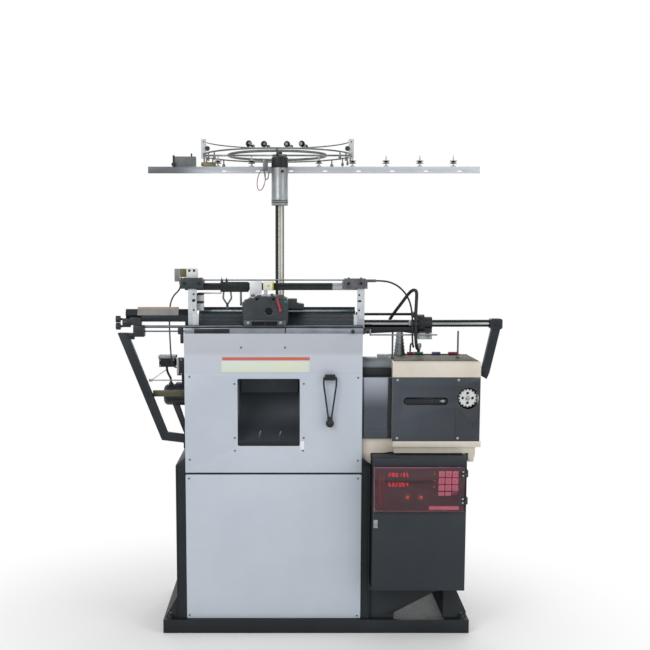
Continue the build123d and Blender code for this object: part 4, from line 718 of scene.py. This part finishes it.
# Junction box and switch box: moulded black boxes with screwed lids. A bent spring wire with a knob turns
# in the switch box's bracket, and stops the machine when a yarn runs out.
eased("junction_box", 0.8, moulded_black)
eased("switch_box", 0.8, moulded_black)
grey_lid = surface("moulded_light_grey_lid", "#9FA3A6", "#8F9396", 30, 0.45, 0.06, 2.5, 0.06, ior=1.54)
plates("box_lids", grey_lid, "grey_plastic",
       ((-398.5, 103.4, 940), (-337.5, 154.6, 949.5), 1.5), ((-326.6, 21.4, 893), (-319.4, 60, 946), 0.8))
lid_screws = bmesh.new()
small_screw = [(0, 2.6), (1, 2.6), (1.5, 2), (1.5, 1), (0.6, 0.9), (0.6, 0)]
for place in ((-392, 106, 915), (-392, 106, 934), (-346, 106, 915), (-346, 106, 934), (-311, 22, 895),
              (-311, 22, 943)):
    turned(lid_screws, small_screw, place, front, 14)
settle("box_lid_screws", lid_screws, zinc_plate)
bright_wire = surface("drawn_spring_wire", "#B9BEC2", "#9BA0A4", 20, 0.28, 0.06, 2, 0.03, metallic=1.0)
eased("stop_arm", 0.3, bright_wire, "stop_wire")

# Drive tube: a hard-chromed tube along which the drive reaches the carriage. Chrome mirrors the room with a
# faint lengthwise polish; the dark bands along its top and bottom are a painted reflection.
hard_chrome = surface("hard_chrome_painted_dark_bands", "#A4A8AA", "#96999B", 60, 0.26, 0.04, 3, 0.004, metallic=0.8,
                      stretch=(0.1, 1, 1))
passing(hard_chrome, up, 1.0675, 1.0700, "#1E2224")
passing(hard_chrome, up, 1.0635, 1.0605, "#1E2224")
eased("drive_tube", 0.5, hard_chrome)

# Tube bracket, rear rod and right arm: black iron castings and bar at the right end, with a split hub on
# the tube and a cap that the slanted arm hangs from.
eased("tube_bracket", 1, satin_black)
eased("rear_rod", 0.8, satin_black)
eased("right_arm", 1.2, arm_black)
right_bolts = bmesh.new()
hexagon(right_bolts, (748, 12, 1064), front, 13, 4)
hexagon(right_bolts, (712, 18, 896), front, 10, 4)
settle("right_end_bolts", right_bolts, moulded_black)
clamp_block = bmesh.new()
plate(clamp_block, (485.5, 7.4, 1013.4), (531.6, 30, 1035.6), 1.2)
turned(clamp_block, socket_head(7.6, 3.4, 4.4, 6.6, 3.4, 2), (517, 7.6, 1026), front, 24)
plate(clamp_block, (454, 12.6, 1059), (464, 17.8, 1076), 0.8)
settle("silver_clamp", clamp_block, zinc_plate)

# Drive casting: the housing of the drive, cast and sprayed in a warm cream enamel, with a lip over the
# front cover, a leg below and a darker lid on top that carries the sockets and two thin pins.
cream_enamel = surface("cream_enamel_on_casting", "#D6CEC3", "#C8C1B1", 160, 0.4, 0.07, 4, 0.1, coat=0.15)
eased("drive_casting", 1.2, cream_enamel)
lid_paint = surface("olive_grey_hammered_paint", "#47433A", "#3D3A32", 40, 0.6, 0.08, 5, 0.25, gleam=0.2)
plates("casting_lid", lid_paint, "cream_paint", ((404, 4, 939.6), (690, 250, 941.6), 0.8))
strip = bmesh.new()
plate(strip, (467.6, 215.6, 941), (660.4, 236.4, 944.6), 0.6)
for i in range(22):
    plate(strip, (470 + 8.6 * i, 214.8, 941.4), (475 + 8.6 * i, 216.6, 944.2), 0.3, 1)
settle("terminal_strip", strip, moulded_black)
sockets = {"red": ((474, 497), (621, 654)), "green": ((500, 530),), "blue": ((563, 592),)}
socket_tints = {"red": ("#A8283E", "#8E2036"), "green": ("#1F7A55", "#186547"),
                "blue": ("#4A6796", "#3B5580")}
for tint, spans in sockets.items():
    housing = bmesh.new()
    for x0, x1 in spans:
        plate(housing, (x0 - 0.3, 217.6, 944), (x1 + 0.3, 234.4, 951.9), 0.8)
        for i in range(int((x1 - x0 - 4) / 5)):
            x = x0 + 3 + 5 * i
            plate(housing, (x, 216.9, 945.4), (x + 3.4, 218, 950.6), 0.3, 1)
    moulded = surface(f"moulded_{tint}_pbt", *socket_tints[tint], 15, 0.4, 0.05, 2, 0.05, ior=1.55)
    settle(f"{tint}_sockets", housing, moulded)
pins = bmesh.new()
for x, top in ((409, 1033.6), (634, 1035.6)):
    turned(pins, [(0, 7.2), (5, 7.2), (6.4, 6), (6.4, 3.2), (top - 942, 3.2), (top - 941, 2),
                  (top - 941, 0)], (x, 100, 941), up, 18)
settle("casting_pins", pins, worn_wire)

# Drive cover: pressed sheet in a glossy slate enamel, held by four screws, with a round opening for the
# hand wheel and a recessed pull in a long slot.
slate_enamel = surface("glossy_slate_enamel_painted_reflection", "#3E454E", "#363D45", 240, 0.24, 0.05, 5, 0.05, coat=0.1,
                       gleam=0.4)
# The cover darkens towards its right: a painted reflection.
passing(slate_enamel, (1, 0, 0), 0.45, 0.67, "#2D333A")
eased("drive_cover", 0.8, slate_enamel)
cover_heads = bmesh.new()
for x, z in ((417, 877), (622, 877), (417, 679), (622, 679)):
    turned(cover_heads, [(0, 4.6), (0.7, 4.6), (1.6, 3.6), (1.9, 2.2), (1.9, 1.7), (0.9, 1.5), (0.9, 0)],
           (x, -4, z), front, 18)
settle("drive_cover_screws", cover_heads, zinc_plate)
plates("slot_pull", moulded_black, "black_plastic",
       ((441, -3.6, 798), (533, 9, 813), 2.5, 3), ((536, -3.6, 797.6), (586, 9, 813.4), 3, 3))
catch = bmesh.new()
turned(catch, socket_head(5, 1.2, 2, 4, 2, 1), (571, -3.4, 806), front, 20)
plate(catch, (560, -4.8, 804), (568, -3.4, 808), 0.4)
settle("slot_catch", catch, zinc_plate)

# Hand wheel: a white moulded toothed wheel on the drive's main shaft, turned by a fingertip through the
# round opening. Its hub nut is bright and the pocket behind it is dark.
eased("hand_wheel", 0.5, white_nylon, "main_wheel")
wheel_middle = (655, 6, 815)
hub = bmesh.new()
turned(hub, [(0, 9), (3, 9), (4, 8), (4, 5), (6, 4.6), (6.6, 3.8), (6.6, 0)], wheel_middle, front, 28)
settle("wheel_hub_nut", hub, bright_wire, "main_wheel")
rim = bmesh.new()
turned(rim, [(-1, 20.6), (-1, 23.5), (0.9, 24.6), (1.2, 26), (0.4, 26.8), (-1, 26.8)],
       wheel_middle, front, 40)
settle("wheel_web_ring", rim, white_nylon, "main_wheel")

# Ribbed sleeve: a grey moulded boot over the cable entry on the casting, soft and matt. It narrows
# upwards in six ribs. Its right side is painted dark, as painted shade of the cables.
grey_boot = surface("moulded_grey_elastomer_painted_shade_right", "#C8CCD4", "#B9BDC5", 20, 0.62, 0.07, 2, 0.1, ior=1.52)
eased("ribbed_sleeve", 0.4, grey_boot)
ribs = bmesh.new()
for i in range(6):
    wide, step = 20 - 1.4 * i, 10 + 12 * i
    turned(ribs, [(1.4, wide - 3.1), (1.4, wide - 1.9), (2.2, wide - 1.5), (3.0, wide - 1.9),
                  (3.0, wide - 3.1)], (447, 226, 940 + step), up, 28)
# Painted shade: the boot turns dark to the right of x = 450 mm.
passing(grey_boot, (1, 0, 0), 0.446, 0.454, "#25282C")
settle("sleeve_ribs", ribs, grey_boot)

# Link housing and shaft cover: a glossy dark sheet housing between body and drive, lighter towards its top
# by a painted reflection, with a grey drum over the shaft above it and a black moulded guard between them.
housing_slate_painted_reflection = surface("slate_enamel_painted_reflection_top", "#3E454E", "#363D45", 240, 0.24, 0.05, 5, 0.05, coat=0.1,
                      gleam=0.4)
# Painted reflection: the housing lightens towards its top.
passing(housing_slate_painted_reflection, up, 0.77, 0.895, "#9DA2AF")
eased("link_housing", 1, housing_slate_painted_reflection)
# The third plate, a black strip in the gap between housing and drive cover, is painted shade.
plates("shaft_guard_and_painted_gap_shade", moulded_black, "slate_paint",
       ((300, 28, 885), (399.6, 37, 915.6), 1.5), ((306, 26.6, 895), (394, 28.6, 899), 0.6),
       ((387, 6.4, 677), (400, 12, 884), 0.8))
drum_enamel = surface("mid_grey_enamel_on_sheet", "#7B8187", "#6E747B", 60, 0.35, 0.07, 4, 0.06, coat=0.2)
eased("shaft_cover", 0.8, drum_enamel)

# Controller box: a folded steel cabinet in a fine-textured slate powder coat, hung on the pedestal. It has
# a plain lower door with a turn latch, louvres and two black hinges at its right edge.
powder_coat = surface("fine_texture_powder_coat", "#262D33", "#21282E", 150, 0.5, 0.07, 2.5, 0.12,
                      gleam=0.35)
eased("controller_box", 1, powder_coat)
latch = bmesh.new()
plate(latch, (335, -71.5, 386), (349, -69, 414), 1.2)
turned(latch, [(0, 5), (2.4, 5), (3.2, 4.2), (3.2, 0)], (342, -71.5, 400), front, 22)
plate(latch, (340.8, -75.6, 395.5), (343.2, -74.4, 404.5), 0.4)
settle("door_latch", latch, zinc_plate)

# Keypad panel: a printed film on a dark plate, with pale raised keys, a purple start key, three lamps, a
# bare pale title bar and two rows of red figures behind dark display windows.
film = surface("printed_polyester_film", "#2A161C", "#241218", 60, 0.35, 0.05, 2, 0.03, gleam=0.15)
eased("keypad_panel", 0.4, film)
key_back, key_face, film_face, display_face = -70.6, -71.8, -69, -67.7  # depths in mm
figure_bars = {"top": (-1, 1, 3.4, 4.2), "mid": (-1, 1, -0.4, 0.4), "low": (-1, 1, -4.2, -3.4),
               "left_up": (-2.2, -1.4, 0.4, 3.6), "right_up": (1.4, 2.2, 0.4, 3.6),
               "left_low": (-2.2, -1.4, -3.6, -0.4), "right_low": (1.4, 2.2, -3.6, -0.4)}
lit_bars = {0: "top low left_up right_up left_low right_low", 1: "right_up right_low",
            2: "top mid low right_up left_low", 3: "top mid low right_up right_low",
            4: "mid left_up right_up right_low", 5: "top mid low left_up right_low",
            6: "top mid low left_up left_low right_low", 7: "top right_up right_low",
            8: "top mid low left_up right_up left_low right_low",
            9: "top mid low left_up right_up right_low"}


def figure(shape, number, x, z, y, size):
    """adds one seven-bar figure, its bars standing just proud of a face at depth y"""
    for bar in lit_bars[number].split():
        x0, x1, z0, z1 = (size * v for v in figure_bars[bar])
        plate(shape, (x + x0, y - 0.35, z + z0), (x + x1, y, z + z1), 0.05, 1)


figures = bmesh.new()
for i, number in enumerate((2, 8, 0, 1, 3, 5)):
    figure(figures, number, 388 + 11.5 * i, 567.5, display_face, 1.5)
for i, number in enumerate((6, 8, 2, 0, 6, 4)):
    figure(figures, number, 388 + 11.5 * i, 534.5, display_face, 1.5)
glow = bpy.data.materials.new("lit_red_diodes")
glow.use_nodes = True
glow_shader = glow.node_tree.nodes["Principled BSDF"]
glow_shader.inputs["Base Color"].default_value = linear("#FF5050")
glow_shader.inputs["Emission Color"].default_value = linear("#FF4048")
glow_shader.inputs["Emission Strength"].default_value = 1.3
settle("display_figures", figures, glow)
caps = bmesh.new()
marks = bmesh.new()
for row in range(3):
    for column in range(3):
        x, z = 560 + 23 * column, 570 - 23 * row
        plate(caps, (x - 10, key_face, z - 10), (x + 10, key_back, z + 10), 0.7)
        figure(marks, 7 - 3 * row + column, x, z, key_face, 0.8)
for x in (560, 583):
    plate(caps, (x - 10, key_face, 496.5), (x + 10, key_back, 509.5), 0.7)
figure(marks, 0, 560, 503, key_face, 0.7)
plate(caps, (519, -70, 449), (618, -68.9, 461), 0.4)
key_film = surface("white_printed_film", "#E8E4E6", "#DCD8DA", 30, 0.3, 0.04, 2, 0.02)
settle("key_faces", caps, key_film)
settle("key_figures", marks, moulded_black)
purple_film = surface("purple_printed_film", "#8A4CA0", "#7C4392", 30, 0.3, 0.04, 2, 0.02)
plates("start_key_face", purple_film, "red_plastic", ((596, key_face, 500.5), (614, key_back, 513.5), 0.7))
lamp_caps = bmesh.new()
for z in (571, 547, 527):
    turned(lamp_caps, [(0, 2.6), (0.8, 2.6), (1.4, 2), (1.7, 1), (1.8, 0)], (536, -70.8, z), front, 16)
amber_lens = surface("unlit_amber_lens", "#D89A4C", "#C88A40", 10, 0.25, 0.04, 1, 0.02, ior=1.49)
settle("panel_lamps", lamp_caps, amber_lens)

# Dials: two small knobs turned from brass and lacquered, with milled rims and a pointer. Each turns on
# the keypad's face inside a ring of printed white dots.
gold_brass = surface("lacquered_turned_brass", "#C2A05C", "#A98848", 12, 0.26, 0.06, 1.5, 0.03,
                     metallic=1.0)
dial_columns, dial_height, milling_radius, dot_radius = (448, 492), 492, 7.3, 12.5
for name, body, x in zip(("dial_left", "dial_right"), ("dial_a", "dial_b"), dial_columns):
    eased(name, 0.3, gold_brass, body)
    milling = bmesh.new()
    for i in range(24):
        angle = 2 * math.pi * i / 24
        tooth = (x + milling_radius * math.cos(angle), -69.6,
                 dial_height + milling_radius * math.sin(angle))
        turned(milling, [(0, 0.55), (3.1, 0.55), (3.1, 0)], tooth, front, 6)
    settle(name + "_milling", milling, gold_brass, body)
ticks = bmesh.new()
for x in dial_columns:
    for i in range(11):
        angle = math.radians(-240 + 30 * i)
        dot = (x + dot_radius * math.cos(angle), film_face, dial_height - dot_radius * math.sin(angle))
        turned(ticks, [(0, 0.9), (0.25, 0.9), (0.25, 0)], dot, front, 10)
settle("dial_scale_dots", ticks, key_film)

# Red cover: a door of clear wine-red acrylic over the keypad, cut and bent warm, on the two hinges. It
# tints all behind it and has a bright polished edge. Two dull red strips stiffen its free side.
red_acrylic = bpy.data.materials.new("clear_wine_red_acrylic")
red_acrylic.use_nodes = True
acrylic = red_acrylic.node_tree.nodes["Principled BSDF"]
acrylic.inputs["Transmission Weight"].default_value = 1.0
acrylic.inputs["IOR"].default_value = 1.49
acrylic.inputs["Specular IOR Level"].default_value = 0.2
place = add(red_acrylic, "ShaderNodeTexCoord")
haze = add(red_acrylic, "ShaderNodeTexNoise", None,
           {"Vector": place.outputs["Object"], "Scale": 1000 / 45, "Detail": 3.0})
tint = add(red_acrylic, "ShaderNodeMix", {"data_type": "RGBA"},
           {0: haze.outputs["Fac"], 6: linear("#F8ACC0"), 7: linear("#F0A2B6")})
red_acrylic.node_tree.links.new(tint.outputs[2], acrylic.inputs["Base Color"])
smear = add(red_acrylic, "ShaderNodeMapRange", None,
            {"Value": haze.outputs["Fac"], "From Min": 0.35, "From Max": 0.7, "To Min": 0.02,
             "To Max": 0.05})
red_acrylic.node_tree.links.new(smear.outputs["Result"], acrylic.inputs["Roughness"])
eased("red_cover", 0.4, red_acrylic, "keypad_cover")
strip_red = surface("dull_red_pvc_strip", "#5A1626", "#4E1220", 30, 0.5, 0.06, 3, 0.08)
plates("pane_strips", strip_red, "red_plastic",
       ((347, -80.9, 464), (359, -79.9, 575), 0.4), ((364, -80.9, 464), (369.5, -79.9, 575), 0.4),
       body="keypad_cover")
leaves = bmesh.new()
leaf_screws = bmesh.new()
for foot in (562, 470):
    plate(leaves, (625.4, -82.7, foot + 0.6), (636, -81.9, foot + 21.4), 0.3)
    for z in (foot + 4.5, foot + 17.5):
        turned(leaf_screws, [(0, 2.9), (0.5, 2.9), (1.3, 2.1), (1.6, 1.2), (1.6, 0)], (630.6, -82.7, z),
               front, 16)
settle("hinge_leaves", leaves, moulded_black, "keypad_cover")
settle("hinge_leaf_screws", leaf_screws, bright_wire, "keypad_cover")

# Post: a hard-chromed tube that carries the yarn stand above the beds, in a flange held by four bolts.
# It mirrors the white room; a dark band down its left side and a grey band on its right front are painted
# reflections.
post_chrome = surface("polished_post_chrome_painted_reflections", "#A7A69C", "#9A998F", 70, 0.26, 0.03, 3, 0.004, metallic=0.6,
                      stretch=(1, 1, 0.06))
passing(post_chrome, (-0.82, -0.57, 0), -0.1935, -0.1915, "#202325")
passing(post_chrome, (0.94, -0.34, 0), -0.0795, -0.0785, "#6E6F68")
eased("post", 0.8, post_chrome)
post_bolts = bmesh.new()
for x in (-6, 46):
    for y in (304, 356):
        hexagon(post_bolts, (x, y, 1049), up, 11, 6)
settle("post_bolts", post_bolts, zinc_plate)

# Post sleeve: a turned and clear-anodised aluminium tube that slides on the post, ringed near its foot,
# with a black thumb screw at its top.
satin_aluminium = surface("clear_anodised_aluminium", "#9A9EA0", "#8C9092", 45, 0.38, 0.05, 2, 0.015,
                          metallic=0.85, stretch=(1, 1, 0.08))
eased("post_sleeve", 0.6, satin_aluminium)
thumb = bmesh.new()
turned(thumb, [(0, 5.6), (4.5, 5.6), (5.4, 4.8), (5.4, 0)], (30, 300.5, 1590), front, 12)
for z in (1480, 1486):
    turned(thumb, [(0, 29.6), (0, 30.3), (2.2, 30.3), (2.2, 29.6)], (20, 330, z), up, 48)
settle("sleeve_thumb_screw", thumb, moulded_black)

# Stand hub: a black moulded collar and spindle on top of the sleeve. The spokes of the
# yarn ring are held in it.
eased("stand_hub", 0.8, moulded_black)

# Yarn ring: two rings of dull drawn wire on flat spokes, with a half ring behind that carries four disc
# tension units, white end plates and a row of hanging eyes for the yarns.
ring_wire = surface("dull_drawn_ring_wire", "#777B78", "#60645F", 40, 0.34, 0.07, 2, 0.03, metallic=0.9,
                    gleam=0.4)
eased("yarn_ring", 0.3, ring_wire)
ring_middle = Vector((12, 330, 0))
half_ring, half_ring_height = 253.4, 1700
hanging_ring, hanging_height = 261.6, 1626
end_ring = 264
discs = bmesh.new()
springs = bmesh.new()
cup = [(0, 0), (0, 9), (0.6, 11.4), (1.6, 11.9), (2.2, 11.4), (1.2, 9), (1.2, 0)]
coil_profile = [(0, 0)]
for i in range(7):
    coil_profile += [(1.2 * i, 4.6), (1.2 * i + 0.6, 5.4), (1.2 * i + 1.2, 4.6)]
coil_profile += [(8.4, 6), (10.6, 6), (10.6, 0)]
for degrees in (115.6, 102, 82.2, 69):
    out = Vector((math.cos(math.radians(degrees)), math.sin(math.radians(degrees)), 0))
    side = Vector((out.y, -out.x, 0))
    base = ring_middle + out * half_ring
    for across, above, size in ((0, 14, 1.0), (17, 4, 0.6)):
        spot = base + side * across + Vector((0, 0, half_ring_height + above))
        turned(discs, [(d, r * size) for d, r in cup], spot - out * 0.2, -out, 24)
        turned(springs, [(d * size, r * size) for d, r in coil_profile], spot - out * 2.2, -out, 16)
gloss_black = surface("gloss_black_enamelled_disc", "#1A1C1F", "#232629", 15, 0.2, 0.05, 2, 0.02, coat=0.3)
settle("tension_discs", discs, gloss_black)
settle("tension_springs", springs, worn_wire)
rings = bmesh.new()
eye = [(0, 3.2), (0.8, 6.2), (1.6, 7.4), (3.4, 7.4), (4.2, 6.2), (5, 3.2), (2.5, 2.8), (0, 3.2)]
for degrees in (140, 155, 168, 192, 205, 215, 325, 335, 348, 15, 25, 40):
    out = Vector((math.cos(math.radians(degrees)), math.sin(math.radians(degrees)), 0))
    turned(rings, eye, ring_middle + out * hanging_ring + Vector((0, 0, hanging_height)), out, 24)
grey_ceramic = surface("glazed_grey_ceramic", "#7D7F7E", "#6C6E6D", 10, 0.15, 0.03, 2, 0.02)
settle("hanging_eyes", rings, grey_ceramic)
ends = bmesh.new()
for side in (-1, 1):
    x = ring_middle.x + side * end_ring
    plate(ends, (x - 9.4, 327.4, 1636), (x + 9.4, 332.6, 1706), 0.8)
settle("ring_end_plates", ends, white_plate)
end_dots = bmesh.new()
for side in (-1, 1):
    x = ring_middle.x + side * end_ring
    for z in (1644, 1655, 1696):
        turned(end_dots, [(0, 2.6), (0.3, 2.6), (0.3, 0)], (x, 327.4, z), front, 16)
    turned(end_dots, [(0, 8.2), (1.4, 8.8), (2.4, 8.2), (2.4, 3), (6, 3), (6, 0)],
           (x - side * 14, 323, 1672), front, 24)
settle("ring_end_tensions", end_dots, gloss_black)

# Yarn rail: an extruded aluminium angle across the back of the stand, slotted, with disc guides along it
# and a dark stop box near its left end.
rail_aluminium = surface("mill_finish_aluminium_painted_shade_left", "#C2C7CD", "#B8BDC4", 80, 0.45, 0.06, 2, 0.03,
                         metallic=0.3, gleam=0.4, stretch=(0.06, 1, 1))
# The rail darkens towards its left end: painted shade.
passing(rail_aluminium, (1, 0, 0), -0.2, -0.36, "#5D6166")
eased("yarn_rail", 0.4, rail_aluminium)
guides = bmesh.new()
for i in (-2, -1, 1, 2, 3, 4, 5):
    x = 40 + 122 * i
    turned(guides, [(10, 3.2), (11.6, 12.6), (13.2, 13.4), (14.4, 12.6), (17, 5.2), (19.6, 12.6),
                    (20.8, 13.4), (22.4, 12.6), (25, 3.4)], (x, 378, 1612), up, 28)
    turned(guides, [(0, 9.2), (3, 9.2), (4, 8.4), (4, 3.2)], (x, 378, 1612), up, 6)
settle("guide_discs", guides, ring_wire)
stop_box = bmesh.new()
plate(stop_box, (-361.4, 366.6, 1612), (-283.6, 389.4, 1648.4), 1.5)
plate(stop_box, (-352, 366.1, 1618), (-296, 366.8, 1642), 0.3)
for x in (-348, -300):
    turned(stop_box, small_screw, (x, 366.2, 1630), front, 14)
box_grey = surface("mid_grey_enamel_on_sheet_box", "#6A6E70", "#595D5F", 30, 0.45, 0.08, 3, 0.08, gleam=0.4)
settle("stop_box_shell", stop_box, box_grey)
box_end = bmesh.new()
plate(box_end, (-367.4, 362.6, 1612), (-361, 389.4, 1652.4), 1)
turned(box_end, [(0, 7.4), (7, 7.4), (8, 6.4), (8, 0)], (-364, 363, 1619), front, 22)
turned(box_end, [(0, 2.8), (11, 2.8), (12, 2), (12, 0)], (-300, 378, 1648), up, 14)
settle("stop_box_end", box_end, moulded_black)
guide = bmesh.new()
plate(guide, (-257.4, 366.8, 1612), (-211.6, 374.4, 1628.4), 0.8)
turned(guide, [(0, 7.4), (6, 7.4), (7, 6.4), (7, 3), (9, 2.6), (9, 0)], (-257, 374, 1621), (-1, 0, 0), 22)
dull_brass = surface("dull_cast_brass", "#7C7658", "#65604A", 12, 0.5, 0.08, 3, 0.1, metallic=0.5)
settle("brass_guide", guide, dull_brass)

# Wire loop and clip: a loop of red and white wire tied up under the ring beside the hub, held by a small
# grey spring clip.
tied = bmesh.new()
turns = [2 * math.pi * i / 24 for i in range(24)]
loop = [(-46 + 14 * math.cos(t) + 5 * math.sin(t), 318, 1560 + 36 * math.sin(t)) for t in turns]
wire(tied, loop + loop[:1], 1.7, 0.6, 1, 10)
red_wire = surface("extruded_red_pvc_sheath", "#8E4A5E", "#9A8388", 14, 0.5, 0.06, 3, 0.1, ior=1.53)
settle("tied_wire_loop", tied, red_wire)
clip = bmesh.new()
plate(clip, (-40, 312, 1592), (-22, 322, 1634), 1.2)
wire(clip, [(-36, 318, 1592), (-31, 318, 1562), (-22, 318, 1566), (-18, 318, 1590)], 2, 0.8, 1.2, 12)
turned(clip, [(0, 3), (32, 3), (33, 2), (33, 0)], (-31, 318, 1604), back, 16)
settle("spring_clip", clip, worn_wire)
